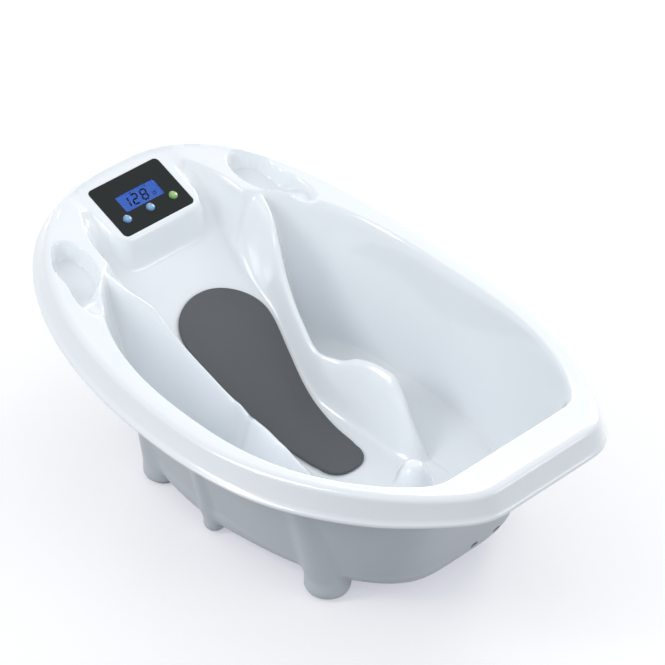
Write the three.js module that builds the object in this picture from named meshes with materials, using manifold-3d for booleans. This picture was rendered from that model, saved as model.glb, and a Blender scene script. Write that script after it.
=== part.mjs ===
// Baby bath with a built-in scale, thermometer sensor and display.
// Millimetres, +Z up, floor at z = 0. The length runs along X: display end at -X, foot end at +X.
// Everything is drawn from the middle of the basin, and each piece is then moved to centre the length.
import * as THREE from "three";
import { mergeVertices } from "three/addons/utils/BufferGeometryUtils.js";
import Module from "manifold-3d";

const wasm = await Module();
wasm.setup();

// Fits
const GAP = 0.3;
const SHELL = 3.4;
const CUT = 1;

// Rim: height of the flange at mid length and how far its ends rise
const RIM_MID = 225.6;
const RIM_RISE = 54.5;
const RIM_REACH = 410;

// Plan outlines: head = reach towards -X, foot = reach towards +X, half = half width
const EDGE_HEAD = 410;
const EDGE_FOOT = 395;
const EDGE_HALF = 251;
const FLANGE_SIDE = 29.5;
const FLANGE_FOOT = 67;
const SHELF_HEAD = 110;
const WALL_RUN_SIDE = 43;
const WALL_RUN_FOOT = 62;
const WALL_RUN_HEAD = 55;
const EDGE = {
  head: EDGE_HEAD, foot: EDGE_FOOT, half: EDGE_HALF, round: 2.5, taper: 3.9e-4, power: 2.14, corner: 12,
};
const BASIN = {
  head: EDGE_HEAD - SHELF_HEAD, foot: EDGE_FOOT - FLANGE_FOOT, half: EDGE_HALF - FLANGE_SIDE,
  round: 2.5, taper: 2.95e-5, power: 2.6, corner: 20,
};
const FLOOR = {
  head: BASIN.head - WALL_RUN_HEAD, foot: BASIN.foot - WALL_RUN_FOOT, half: BASIN.half - WALL_RUN_SIDE,
  round: 2.5, taper: 2.95e-5, power: 2.6, corner: 5,
};

// Skirt: run out from the flange edge and fall to the bead, steeper and deeper towards the foot end
const SKIRT_OUT = 13.5;
const SKIRT_FALL = 27.5;
const BEAD = 2.4;
const SKIRT_REACH = SKIRT_OUT + BEAD + 1.2;
const FOOT_TUCK = 0.45;
const FOOT_DROP = 0.13;
const CORNER_DROP = 0.12;

// Bath floor
const FLOOR_MID = 44;
const FLOOR_LIFT = 8;
const CREASE_Z = FLOOR_MID + FLOOR_LIFT;

// Recline ramp centre line (x, z) and the crest of its side ridges (x, y, z)
const RAMP = [[-360, 258], [-285, 193], [-230, 155], [-170, 131], [-100, 82], [-45, 54], [15, 44], [160, 44]];
const CREST = [
  [-300, 124, 248], [-262, 134, 246], [-232, 127, 234], [-199, 109, 214], [-169, 97, 178],
  [-123, 83, 139], [-75, 74, 113], [-45, 82, 115], [-20, 92, 126], [8, 99, 131], [34, 103, 131],
  [58, 98, 117], [84, 88, 96], [112, 84, 62], [140, 84, 30],
];
const TROUGH = [
  [-360, 90], [-285, 86], [-230, 81], [-170, 74], [-123, 62], [-75, 52], [-40, 50], [20, 50], [160, 50],
];
const RIDGE_SLOPE = 4.6;
const RIDGE_ROUND = 7;

// Crotch post
const POST_X = 186;
const POST_TOP = 141;
const POST_HALF = 25;
const POST_FRONT = 1.1;
const POST_BACK = 0.9;
const POST_DROP = 20;
const POST_POWER = 3.2;

// Display pod: a sloped plane, flush with the flange behind it
const POD_BACK_X = -386;
const POD_BACK_Z = 272;
const POD_SLOPE = 0.3704;
const POD_FRONT_X = -280;
const POD_FACE_X = -299;
const POD_DRAFT = 4.3;
const RECESS_X = POD_BACK_X + 24;

// Soap dishes
const DISH_X = -292;
const DISH_Y = 158.5;
const DISH_LONG = 48;
const DISH_WIDE = 28;
const DISH_TURN = 0.2;
const DISH_DEEP = 23;
const DISH_WALL = 7;
const TAIL_X = -243;
const TAIL_Y = 179;
const TAIL_LONG = 44;
const TAIL_WIDE = 18;
const TAIL_RISE = 14;

// Mat
const MAT_THICK = 4;
const MAT_SIDE = [[-170, 69], [-120, 60], [-80, 50], [-40, 43.5], [0, 38], [30, 35.5], [42, 33.5]];
const MAT_HEAD_X = -233;
const MAT_FOOT_X = 72;
const MAT_ENDS = [0.06, 0.15, 0.25, 0.36];
const MAT_ROWS = 14;
const MAT_AIR = 0.4;

// Base shell
const BASE_WALL = 3;
const BASE_Z = 15;
const BASE_AIR = 9;
const BASE_FOOT = {
  head: 235, foot: 250, half: 176, round: 2.5, taper: 0.036, power: 1.4, corner: 5,
};
const BASE_TOP = {
  head: BASIN.head - 12, foot: BASIN.foot + BASE_AIR, half: BASIN.half + BASE_AIR,
  round: 3, taper: BASIN.taper, power: BASIN.power, corner: 20,
};

// Feet: load cell legs at the foot end and at the head end, plain columns between
const LEG_X = 172;
const LEG_Y = 141;
const LEG_R = 30;
const LEG_TOP_R = 16;
const LEG_TOP_X = 168;
const LEG_TOP_Y = 194;
const LEG_TOP_Z = 195;
const COLUMN_X = -6;
const COLUMN_Y = 172;
const COLUMN_R = 15;
const COLUMN_TOP_R = 8;
const COLUMN_TOP_Y = 216;
const COLUMN_TOP_Z = 187;
const HEAD_FOOT_X = -129;
const HEAD_FOOT_Y = 153;
const HEAD_FOOT_R = 27;
const HEAD_TOP_R = 14;
const HEAD_TOP_X = -143;
const HEAD_TOP_Y = 183;
const HEAD_TOP_Z = 190;
const SOLE_Z = 3.5;
const PAD_R = 20;
const PAD_THICK = 3;
const BORE_R = 21.5;
const BORE_TOP = 11.5;
const CELL_SIDE = 29;
const CELL_THICK = 2;

// Drain
const DRAIN_X = 236;
const DRAIN_Z = 48;
const DRAIN_BORE = 9;
const DRAIN_WALL = 2.5;
const DRAIN_SEAT_R = 12;
const DRAIN_SEAT = 2;
const PLUG_R = 6.5;

// Temperature sensor in the face of the crotch post
const SENSOR_Z = 102;
const SENSOR_R = 2;
const GROMMET_R = 3.8;

// Display panel and what lies under it, in the frame of the pod plane
const BUTTON_PITCH = 40;
const PANEL_X = 86;
const PANEL_Y = 2 * (BUTTON_PITCH + 20.5);
const PANEL_R = 7;
const PANEL_THICK = 3;
const PANEL_PROUD = 0.6;
const WINDOW_X = 27;
const WINDOW_Y = 66;
const WINDOW_AT = -3;
const LENS_THICK = 2.2;
const LCD_THICK = 3;
const LIGHT_THICK = 2.2;
const BUTTON_AT = 19.7;
const BUTTON_R = 6.5;
const BUTTON_FLANGE = 0.9;
const BUTTON_DOME = 3;
const BUTTON_TRAVEL = 1;
const FRAME_X = [-PANEL_X / 2 - 3, PANEL_X / 2];
const FRAME_Y = PANEL_Y / 2 + 5.5;
const FRAME_DEEP = 9;
const POCKET_X = PANEL_X - 10;
const POCKET_Y = PANEL_Y - 11;
const POD_HALF = PANEL_Y / 2 + 11.5;
const TRAY_WALL = 2;
const BOARD_THICK = 1.6;
const BOARD_X = POCKET_X - 8;
const BOARD_Y = POCKET_Y - 12;
const CELL_R = 5.25;
const CELL_LONG = 44.5;
const CELL_PITCH = 11.3;

// Screws
const SCREW_R = 2;
const SCREW_HEAD_R = 4;
const SCREW_HEAD = 2.5;
const BOSS_R = 5.5;
const BOSSES = [[-160, 130], [-20, 140], [100, 128]];
const BOSS_TOP = 150;

const lerp = (a, b, t) => a + (b - a) * t;
const clamp01 = (t) => Math.min(1, Math.max(0, t));
const step = (a, b, v) => {
  const t = clamp01((v - a) / (b - a));
  return t * t * (3 - 2 * t);
};

// Rounded maximum and minimum
function smax(a, b, k) {
  const h = Math.max(k - Math.abs(a - b), 0) / k;
  return Math.max(a, b) + h * h * k * 0.25;
}
const smin = (a, b, k) => -smax(-a, -b, k);

// Smooth curve through named points, by cubic pieces with limited slopes
function curveAt(points, x, item) {
  const last = points.length - 1;
  if (x <= points[0][0]) return points[0][item];
  if (x >= points[last][0]) return points[last][item];
  let i = 0;
  while (x > points[i + 1][0]) i += 1;
  const slope = (j) => {
    if (j <= 0 || j >= last) return 0;
    const a = (points[j][item] - points[j - 1][item]) / (points[j][0] - points[j - 1][0]);
    const b = (points[j + 1][item] - points[j][item]) / (points[j + 1][0] - points[j][0]);
    return a * b <= 0 ? 0 : (2 * a * b) / (a + b);
  };
  const h = points[i + 1][0] - points[i][0];
  const t = (x - points[i][0]) / h;
  const m0 = slope(i) * h;
  const m1 = slope(i + 1) * h;
  const p0 = points[i][item];
  const p1 = points[i + 1][item];
  const t2 = t * t;
  const t3 = t2 * t;
  return (2 * t3 - 3 * t2 + 1) * p0 + (t3 - 2 * t2 + t) * m0 + (3 * t2 - 2 * t3) * p1 + (t3 - t2) * m1;
}

const rimZ = (x) => RIM_MID + RIM_RISE * (x / RIM_REACH) ** 2;

// Radius of a plan outline in the direction th
function radiusAt(o, th) {
  const c = Math.cos(th);
  const s = Math.abs(Math.sin(th));
  if (c <= 0) return ((-c / o.head) ** o.round + (s / o.half) ** o.round) ** (-1 / o.round);
  let low = 0;
  let high = 2 * o.foot;
  for (let i = 0; i < 40; i += 1) {
    const r = (low + high) / 2;
    const side = o.half - o.taper * (r * c) ** o.power;
    const out = side <= 0 || ((r * c) / o.foot) ** o.corner + ((r * s) / side) ** o.corner > 1;
    if (out) high = r;
    else low = r;
  }
  return low;
}

// Looked-up radius of an outline, for speed
function outline(o) {
  const n = 1440;
  const table = Array.from({ length: n }, (_, i) => radiusAt(o, (i * 2 * Math.PI) / n));
  return (th) => {
    const u = ((th / (2 * Math.PI)) * n + 4 * n) % n;
    const i = Math.floor(u);
    return lerp(table[i], table[(i + 1) % n], u - i);
  };
}
const edgeR = outline(EDGE);
const edgeExact = (th) => radiusAt(EDGE, th);
const basinR = outline(BASIN);
const floorR = outline(FLOOR);

// Point on an outline, moved out along its normal
function outlinePoint(radius, th, out) {
  const d = 0.004;
  const r = radius(th);
  const slope = (radius(th + d) - radius(th - d)) / (2 * d);
  const nx = slope * Math.sin(th) + r * Math.cos(th);
  const ny = r * Math.sin(th) - slope * Math.cos(th);
  const n = Math.hypot(nx, ny);
  return [r * Math.cos(th) + (nx / n) * out, r * Math.sin(th) + (ny / n) * out];
}

const podPlane = (x) => POD_BACK_Z - POD_SLOPE * (x - POD_BACK_X);

// Flange, shelf and pod top, with the soap dishes sunk in
function shelfZ(x, ay) {
  const rim = rimZ(x);
  const beside = step(POD_HALF + 3, POD_HALF + 22, ay);
  const pod = x < 0 ? podPlane(Math.min(x, POD_FRONT_X)) : rim;
  const level = lerp(smin(rim, pod, 3), rim, beside);
  const turn = (cx, cy, long, wide) => {
    const dx = x - cx;
    const dy = ay - cy;
    const u = dx * Math.cos(DISH_TURN) + dy * Math.sin(DISH_TURN);
    const v = dy * Math.cos(DISH_TURN) - dx * Math.sin(DISH_TURN);
    return Math.hypot(u / long, v / wide);
  };
  const bowl = (1 - turn(DISH_X, DISH_Y, DISH_LONG, DISH_WIDE)) * DISH_WIDE;
  const tail = (1 - turn(TAIL_X, TAIL_Y, TAIL_LONG, TAIL_WIDE)) * TAIL_WIDE;
  const deep = DISH_DEEP - TAIL_RISE * step(-266, -228, x);
  return level - deep * step(0, DISH_WALL, smax(bowl, tail, 6));
}

// Ramp, side ridges, bolsters and crotch post standing on the bath floor
function bedZ(x, y) {
  const ay = Math.abs(y);
  const share = Math.min(1.2, Math.hypot(x, y) / floorR(Math.atan2(y, x)));
  let floor = FLOOR_MID + FLOOR_LIFT * share ** 2;
  const drain = step(DRAIN_SEAT_R + 3, DRAIN_SEAT_R + 34, Math.hypot(x - DRAIN_X, y));
  floor = lerp(DRAIN_Z, floor, drain);
  const middle = curveAt(RAMP, x, 1);
  const crestY = curveAt(CREST, x, 1);
  const crestZ = Math.max(middle, curveAt(CREST, x, 2));
  const troughY = curveAt(TROUGH, x, 1);
  const over = ay - crestY;
  const fall = RIDGE_SLOPE * (Math.sqrt(Math.max(over, 0) ** 2 + RIDGE_ROUND ** 2) - RIDGE_ROUND);
  const rise = lerp(middle, crestZ, step(troughY, crestY, ay));
  let z = smax(floor, rise - fall, 10);
  const q = Math.hypot((x - POST_X) / (x < POST_X ? POST_FRONT : POST_BACK), y);
  z = smax(z, POST_TOP - POST_DROP * (q / POST_HALF) ** POST_POWER, 12);
  return z;
}

// Inner edge of the shelf beside the pod
const shelfEdge = (x) => 117 - 28 * (Math.max(-272 - x, 0) / 90) ** 2.2;

// Whole moulded upper surface inside the flange edge
function surfaceZ(x, y) {
  const ay = Math.abs(y);
  const th = Math.atan2(y, x);
  const top = shelfZ(x, ay);
  const rb = basinR(th);
  const run = (rb - Math.hypot(x, y)) / (rb - floorR(th));
  const rim = rimZ(x);
  const wall = rim - (rim - CREASE_Z) * run;
  const recess = rim - 3.2 * Math.min(x - RECESS_X, shelfEdge(x) - ay, -150 - x);
  const podFace = podPlane(x) + POD_DRAFT * smin(POD_HALF + 2 - ay, POD_FACE_X - x, 12);
  const hollow = smax(smin(wall, recess, 8), podFace, 6);
  const roll = 10 + 10 * step(-260, -160, x);
  return smin(top, smax(hollow, bedZ(x, y), 20), roll);
}

// Surface one wall thickness below, by a ball rolled under the upper surface
function underZ(x, y) {
  let low = surfaceZ(x, y) - SHELL;
  for (const [share, turns] of [[0.6, 8], [0.98, 12]]) {
    const r = SHELL * share;
    const down = Math.sqrt(SHELL * SHELL - r * r);
    for (let i = 0; i < turns; i += 1) {
      const a = (i * 2 * Math.PI) / turns;
      low = Math.min(low, surfaceZ(x + r * Math.cos(a), y + r * Math.sin(a)) - down);
    }
  }
  return low;
}

// Net of triangles over a convex plan outline, refined where it departs from the height function
function net(rim, fixed, heightAt, tolerance, pitch, most) {
  const far = 1e5;
  const pts = [[-far, -far, 0], [far, -far, 0], [0, far, 0]];
  let tris = [];
  const weight = (x, y) => {
    const gx = heightAt(x + 1, y) - heightAt(x - 1, y);
    const gy = heightAt(x, y + 1) - heightAt(x, y - 1);
    return 1 / Math.sqrt(1 + (gx * gx + gy * gy) / 4);
  };
  const makeTri = (a, b, c) => {
    const [p, q, r] = [pts[a], pts[b], pts[c]];
    const bx = q[0] - p[0];
    const by = q[1] - p[1];
    const cx = r[0] - p[0];
    const cy = r[1] - p[1];
    const d = 2 * (bx * cy - by * cx);
    const ux = (cy * (bx * bx + by * by) - by * (cx * cx + cy * cy)) / d;
    const uy = (bx * (cx * cx + cy * cy) - cx * (bx * bx + by * by)) / d;
    return { v: [a, b, c], x: p[0] + ux, y: p[1] + uy, r2: ux * ux + uy * uy, spots: [], worst: null };
  };
  const put = (tri, spot) => {
    const [p, q, r] = tri.v.map((i) => pts[i]);
    const d = (q[0] - p[0]) * (r[1] - p[1]) - (r[0] - p[0]) * (q[1] - p[1]);
    const s = ((spot.x - p[0]) * (r[1] - p[1]) - (r[0] - p[0]) * (spot.y - p[1])) / d;
    const t = ((q[0] - p[0]) * (spot.y - p[1]) - (spot.x - p[0]) * (q[1] - p[1])) / d;
    if (s < -1e-9 || t < -1e-9 || s + t > 1 + 1e-9) return false;
    const miss = Math.abs(p[2] + s * (q[2] - p[2]) + t * (r[2] - p[2]) - spot.z) * spot.w;
    tri.spots.push(spot);
    if (!tri.worst || miss > tri.worst.miss) tri.worst = { spot, miss };
    return true;
  };
  const insert = (x, y, z, used) => {
    const bad = tris.filter((t) => (t.x - x) ** 2 + (t.y - y) ** 2 < t.r2 * (1 - 1e-12));
    const gone = new Set(bad);
    const edges = new Map();
    for (const t of bad) {
      for (let i = 0; i < 3; i += 1) {
        const a = t.v[i];
        const b = t.v[(i + 1) % 3];
        if (edges.has(`${b},${a}`)) edges.delete(`${b},${a}`);
        else edges.set(`${a},${b}`, [a, b]);
      }
    }
    pts.push([x, y, z]);
    const made = [...edges.values()].map(([a, b]) => makeTri(a, b, pts.length - 1));
    for (const t of bad) {
      for (const spot of t.spots) {
        if (spot !== used) made.some((m) => put(m, spot));
      }
    }
    tris = tris.filter((t) => !gone.has(t)).concat(made);
  };
  tris.push(makeTri(0, 1, 2));
  for (const [x, y, z] of rim) insert(x, y, z, null);
  for (const [x, y, z] of fixed) {
    const inside = Math.hypot(x, y) < edgeR(Math.atan2(y, x)) - 13;
    const apart = pts.every((p) => Math.hypot(p[0] - x, p[1] - y) > 3.5);
    if (inside && apart) insert(x, y, z, null);
  }
  const spots = [];
  for (let i = -60; i <= 60; i += 1) {
    for (let j = -40; j <= 40; j += 1) {
      const x = i * pitch + 0.2 * pitch * Math.sin(7 * j + 3 * i);
      const y = j * pitch + 0.2 * pitch * Math.sin(5 * i + 2 * j);
      if (Math.hypot(x, y) < edgeR(Math.atan2(y, x)) - 16) {
        spots.push({ x, y, z: heightAt(x, y), w: weight(x, y) });
      }
    }
  }
  for (const spot of spots) tris.some((t) => put(t, spot));
  while (pts.length < most) {
    let pick = null;
    for (const t of tris) {
      if (t.worst && (!pick || t.worst.miss > pick.miss)) pick = t.worst;
    }
    if (!pick || pick.miss < tolerance) break;
    insert(pick.spot.x, pick.spot.y, pick.spot.z, pick.spot);
  }
  return {
    points: pts.slice(3),
    faces: tris.filter((t) => Math.min(...t.v) > 2).map((t) => t.v.map((i) => i - 3)),
  };
}

// Half width of the mat at a row of places along it
function matStations() {
  const headX = MAT_SIDE[0][0];
  const footX = MAT_SIDE[MAT_SIDE.length - 1][0];
  const rows = [];
  for (const a of MAT_ENDS) {
    const t = Math.PI * a;
    rows.push([headX - (headX - MAT_HEAD_X) * Math.cos(t), MAT_SIDE[0][1] * Math.sin(t) ** 0.95]);
  }
  for (let i = 0; i <= MAT_ROWS; i += 1) {
    const x = lerp(headX, footX, i / MAT_ROWS);
    rows.push([x, curveAt(MAT_SIDE, x, 1)]);
  }
  for (const a of [...MAT_ENDS].reverse()) {
    const t = Math.PI * a;
    const lastHalf = MAT_SIDE[MAT_SIDE.length - 1][1];
    rows.push([footX + (MAT_FOOT_X - footX) * Math.cos(t), lastHalf * Math.sin(t) ** 0.8]);
  }
  return rows;
}

// Closed solid from points and faces
function solidOf(points, faces) {
  const mesh = new wasm.Mesh({
    numProp: 3,
    vertProperties: new Float32Array(points.flat()),
    triVerts: new Uint32Array(faces.flat()),
  });
  return new wasm.Manifold(mesh);
}

function volumeOf(points, faces) {
  let sum = 0;
  for (const [a, b, c] of faces) {
    const [p, q, r] = [points[a], points[b], points[c]];
    sum += p[0] * (q[1] * r[2] - q[2] * r[1]);
    sum -= p[1] * (q[0] * r[2] - q[2] * r[0]);
    sum += p[2] * (q[0] * r[1] - q[1] * r[0]);
  }
  return sum;
}

// Quads between two rings of equal count, given by their first point numbers
function band(faces, a, b, n) {
  for (let i = 0; i < n; i += 1) {
    const j = (i + 1) % n;
    faces.push([a + i, a + j, b + j], [a + i, b + j, b + i]);
  }
}

// Closed solid through a stack of rings with flat or fanned ends
function loft(rings) {
  const n = rings[0].length;
  const points = rings.flat();
  const faces = [];
  for (let k = 0; k + 1 < rings.length; k += 1) band(faces, k * n, (k + 1) * n, n);
  const centre = (ring) => [0, 1, 2].map((i) => ring.reduce((s, p) => s + p[i], 0) / n);
  const low = points.length;
  points.push(centre(rings[0]), centre(rings[rings.length - 1]));
  const last = (rings.length - 1) * n;
  for (let i = 0; i < n; i += 1) {
    const j = (i + 1) % n;
    faces.push([low, j, i], [low + 1, last + i, last + j]);
  }
  if (volumeOf(points, faces) < 0) faces.forEach((f) => f.reverse());
  return solidOf(points, faces);
}

// Round solid from (radius, height) points, between two centres when it leans
function turned(profile, sides, lean = () => [0, 0]) {
  return loft(profile.map(([r, z]) => Array.from({ length: sides }, (_, i) => {
    const a = ((i + 0.5) * 2 * Math.PI) / sides;
    const [dx, dy] = lean(z);
    return [dx + r * Math.cos(a), dy + r * Math.sin(a), z];
  })));
}

const rod = (r, z0, z1, sides = 24) => turned([[r, z0], [r, z1]], sides);

// Solid from a three.js geometry
function solidFrom(geometry) {
  geometry.deleteAttribute("normal");
  geometry.deleteAttribute("uv");
  const merged = mergeVertices(geometry, 1e-4);
  return new wasm.Manifold(new wasm.Mesh({
    numProp: 3,
    vertProperties: new Float32Array(merged.attributes.position.array),
    triVerts: new Uint32Array(merged.index.array),
  }));
}

// Plate with rounded corners, centred in X and Y
function plate(x, y, r, z0, z1, steps = 5) {
  const shape = new THREE.Shape();
  const a = x / 2;
  const b = y / 2;
  shape.moveTo(-a + r, -b);
  shape.lineTo(a - r, -b);
  shape.absarc(a - r, -b + r, r, -Math.PI / 2, 0, false);
  shape.absarc(a - r, b - r, r, 0, Math.PI / 2, false);
  shape.absarc(-a + r, b - r, r, Math.PI / 2, Math.PI, false);
  shape.absarc(-a + r, -b + r, r, Math.PI, 1.5 * Math.PI, false);
  const options = { depth: z1 - z0, bevelEnabled: false, curveSegments: steps };
  const geometry = new THREE.ExtrudeGeometry(shape, options);
  return solidFrom(geometry).translate([0, 0, z0]);
}

function box(x0, x1, y0, y1, z0, z1) {
  const geometry = new THREE.BoxGeometry(x1 - x0, y1 - y0, z1 - z0);
  return solidFrom(geometry).translate([(x0 + x1) / 2, (y0 + y1) / 2, (z0 + z1) / 2]);
}

const joined = (list) => list.reduce((a, b) => a.add(b));
const cutBy = (solid, list) => list.reduce((a, b) => a.subtract(b), solid);

// The largest body of a cut solid
function mainBody(solid) {
  const bodies = solid.decompose();
  return bodies.reduce((a, b) => (a.volume() > b.volume() ? a : b));
}

// Frame of the pod plane: x down the slope, y across, z out of the panel
const POD_TILT = Math.atan(POD_SLOPE);
const PANEL_AT_X = POD_BACK_X + (PANEL_X / 2) * Math.cos(POD_TILT);
const podFrame = new THREE.Matrix4()
  .makeTranslation(PANEL_AT_X, 0, podPlane(PANEL_AT_X))
  .multiply(new THREE.Matrix4().makeRotationY(POD_TILT));
const onPod = (solid) => solid.transform(podFrame.elements);

const group = new THREE.Group();
group.name = "baby_bath_with_scale";

function material(colour, roughness, metalness = 0) {
  return new THREE.MeshStandardMaterial({ color: colour, roughness, metalness });
}

function addPart(name, solid, look) {
  const mesh = solid.getMesh();
  const geometry = new THREE.BufferGeometry();
  geometry.setAttribute("position", new THREE.BufferAttribute(new Float32Array(mesh.vertProperties), 3));
  geometry.setIndex(new THREE.BufferAttribute(new Uint32Array(mesh.triVerts), 1));
  const node = new THREE.Mesh(geometry, look);
  node.name = name;
  node.position.x = CENTRE;
  group.add(node);
}

// Both hands of a point list: near side (-Y) first
const sides = [["near", -1], ["far", 1]];

// Tub shell: nets above and below, joined by the flange edge, skirt and bead
const COLUMNS = 68;
const CORNER_SHARE = 0.5;

// Directions of the columns: even along the edge, closer together where it bends
function columnAngles() {
  const n = 2880;
  const at = Array.from({ length: n + 1 }, (_, i) => outlinePoint(edgeExact, (i * 2 * Math.PI) / n, 0));
  const turn = Array.from({ length: n + 1 }, (_, i) => {
    const th = ((i - 0.5) * 2 * Math.PI) / n;
    const a = outlinePoint(edgeExact, th, 1);
    const b = outlinePoint(edgeExact, th, 0);
    return Math.atan2(a[1] - b[1], a[0] - b[0]);
  });
  let sum = 0;
  const total = [0];
  const around = at.slice(1).reduce((d, p, i) => d + Math.hypot(p[0] - at[i][0], p[1] - at[i][1]), 0);
  for (let i = 1; i <= n; i += 1) {
    const step = Math.hypot(at[i][0] - at[i - 1][0], at[i][1] - at[i - 1][1]) / around;
    let bend = turn[i] - turn[i - 1];
    bend -= 2 * Math.PI * Math.round(bend / (2 * Math.PI));
    sum += (1 - CORNER_SHARE) * step + (CORNER_SHARE * Math.abs(bend)) / (2 * Math.PI);
    total.push(sum);
  }
  return Array.from({ length: COLUMNS }, (_, k) => {
    const want = ((k + 0.5) / COLUMNS) * sum;
    return (total.findIndex((v) => v > want) * 2 * Math.PI) / n;
  });
}
const columns = columnAngles();
const ringAt = (out, fall) => columns.map((th) => {
  const [ex] = outlinePoint(edgeExact, th, 0);
  const foot = step(120, 330, ex);
  const corner = step(40, 180, ex) * (1 - step(280, 370, ex));
  const spread = Math.max(out, 0) * (1 - FOOT_TUCK * foot) + Math.min(out, 0);
  const [x, y] = outlinePoint(edgeExact, th, spread);
  return [x, y, rimZ(ex) + fall * (1 + FOOT_DROP * foot + CORNER_DROP * corner)];
});
const skirtX = ringAt(SKIRT_REACH, 0).map((p) => p[0]);
const CENTRE = -(Math.min(...skirtX) + Math.max(...skirtX)) / 2;
const flangeIn = -8;
const onTop = (x, y) => [x, y, surfaceZ(x, y)];
const onBoth = (x, y) => [onTop(x, y), onTop(x, -y)];

// Points along the creases of the upper surface
function creasePoints() {
  const list = [];
  for (const th of columns) {
    for (const [radius, out] of [[basinR, 7], [basinR, 0.5], [basinR, -4], [floorR, 3], [floorR, -9]]) {
      const [x, y] = outlinePoint(radius, th, out);
      if (x > -255) list.push(onTop(x, y));
    }
  }
  const ring = (cx, cy, long, wide, share, n) => {
    for (let i = 0; i < n; i += 1) {
      const a = (i * 2 * Math.PI) / n;
      const u = long * share * Math.cos(a);
      const v = wide * share * Math.sin(a);
      const x = cx + u * Math.cos(DISH_TURN) - v * Math.sin(DISH_TURN);
      const y = cy + u * Math.sin(DISH_TURN) + v * Math.cos(DISH_TURN);
      list.push(...onBoth(x, y));
    }
  };
  for (const [share, n] of [[1.02, 20], [0.9, 18], [0.74, 16], [0.45, 9]]) {
    ring(DISH_X, DISH_Y, DISH_LONG, DISH_WIDE, share, n);
  }
  for (const [share, n] of [[1.04, 14], [0.62, 12]]) ring(TAIL_X, TAIL_Y, TAIL_LONG, TAIL_WIDE, share, n);
  for (let x = -296; x <= 112; x += 17) {
    for (const over of [-9, 0, 5]) list.push(...onBoth(x, curveAt(CREST, x, 1) + over));
  }
  for (const y of [POD_HALF - 2, POD_HALF + 3, POD_HALF + 22]) {
    for (let x = POD_BACK_X + 4; x <= -300; x += 14) list.push(...onBoth(x, y));
  }
  for (const out of [-5, 0, 5, 12]) {
    for (let y = 6; y <= POD_HALF + 6; y += 11) list.push(...onBoth(POD_FACE_X + out, y));
  }
  for (const [q, n] of [[0, 1], [14, 10], [22, 12], [29, 12], [38, 12]]) {
    for (let i = 0; i < n; i += 1) {
      const a = (i * 2 * Math.PI) / n;
      list.push(onTop(POST_X + POST_FRONT * q * Math.cos(a), q * Math.sin(a)));
    }
  }
  return list;
}

const matSeat = matStations().flatMap(([x, half]) => [-1, -0.5, 0, 0.5, 1].map((t) => onTop(x, t * half)));
const topNet = net(ringAt(flangeIn, 0), [...matSeat, ...creasePoints()], surfaceZ, 1.1, 6.5, 1500);
const underNet = net(ringAt(flangeIn, -SHELL), [], underZ, 1.4, 8, 700);

function shellSolid() {
  const outer = [
    [-3, -1.2], [0.5, -4.2], [2.5, -8.5], [SKIRT_OUT, -SKIRT_FALL],
    [SKIRT_OUT + BEAD, -SKIRT_FALL - 0.8], [SKIRT_REACH, -SKIRT_FALL - 3],
    [SKIRT_OUT + BEAD - 0.6, -SKIRT_FALL - 5.4], [SKIRT_OUT - 2.1, -SKIRT_FALL - 2.4],
    [0.2, -9.8], [-3, -5.2],
  ];
  const rings = outer.map(([out, fall]) => ringAt(out, fall));
  const points = [...topNet.points, ...rings.flat(), ...underNet.points];
  const faces = topNet.faces.map((f) => [...f]);
  const first = topNet.points.length;
  const under = first + rings.length * COLUMNS;
  const flip = [];
  band(flip, 0, first, COLUMNS);
  for (let k = 0; k + 1 < rings.length; k += 1) {
    band(flip, first + k * COLUMNS, first + (k + 1) * COLUMNS, COLUMNS);
  }
  band(flip, first + (rings.length - 1) * COLUMNS, under, COLUMNS);
  flip.forEach(([a, b, c]) => faces.push([a, c, b]));
  underNet.faces.forEach(([a, b, c]) => faces.push([under + a, under + c, under + b]));
  return solidOf(points, faces);
}

// Everything on one side of a net, moved by dz, up or down to a flat level
function netVolume(which, dz, level) {
  const n = which.points.length;
  const points = [
    ...which.points.map(([x, y, z]) => [x, y, z + dz]),
    ...which.points.map(([x, y]) => [x, y, level]),
  ];
  const faces = which.faces.map((f) => [...f]);
  which.faces.forEach(([a, b, c]) => faces.push([n + a, n + c, n + b]));
  for (let i = 0; i < COLUMNS; i += 1) {
    const j = (i + 1) % COLUMNS;
    faces.push([i, n + j, j], [i, n + i, n + j]);
  }
  if (volumeOf(points, faces) < 0) faces.forEach((f) => f.reverse());
  return solidOf(points, faces);
}

const insideShell = netVolume(topNet, -SHELL / 2, -50);
const aboveUnder = netVolume(underNet, -GAP, 400);

const tubeTop = DRAIN_Z - 1;
const sensorX = POST_X - POST_FRONT * POST_HALF * ((POST_TOP - SENSOR_Z) / POST_DROP) ** (1 / POST_POWER);
const sensorTurn = -76;
const atSensor = (solid) => solid.rotate([0, sensorTurn, 0]).translate([sensorX, 0, SENSOR_Z]);
const trayScrews = [];
for (const sx of [-1, 1]) {
  for (const sy of [-1, 1]) trayScrews.push([sx * (PANEL_X / 2 - 2.5), sy * (PANEL_Y / 2 - 2.5)]);
}
const rebate = -PANEL_THICK + PANEL_PROUD - GAP;

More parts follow.
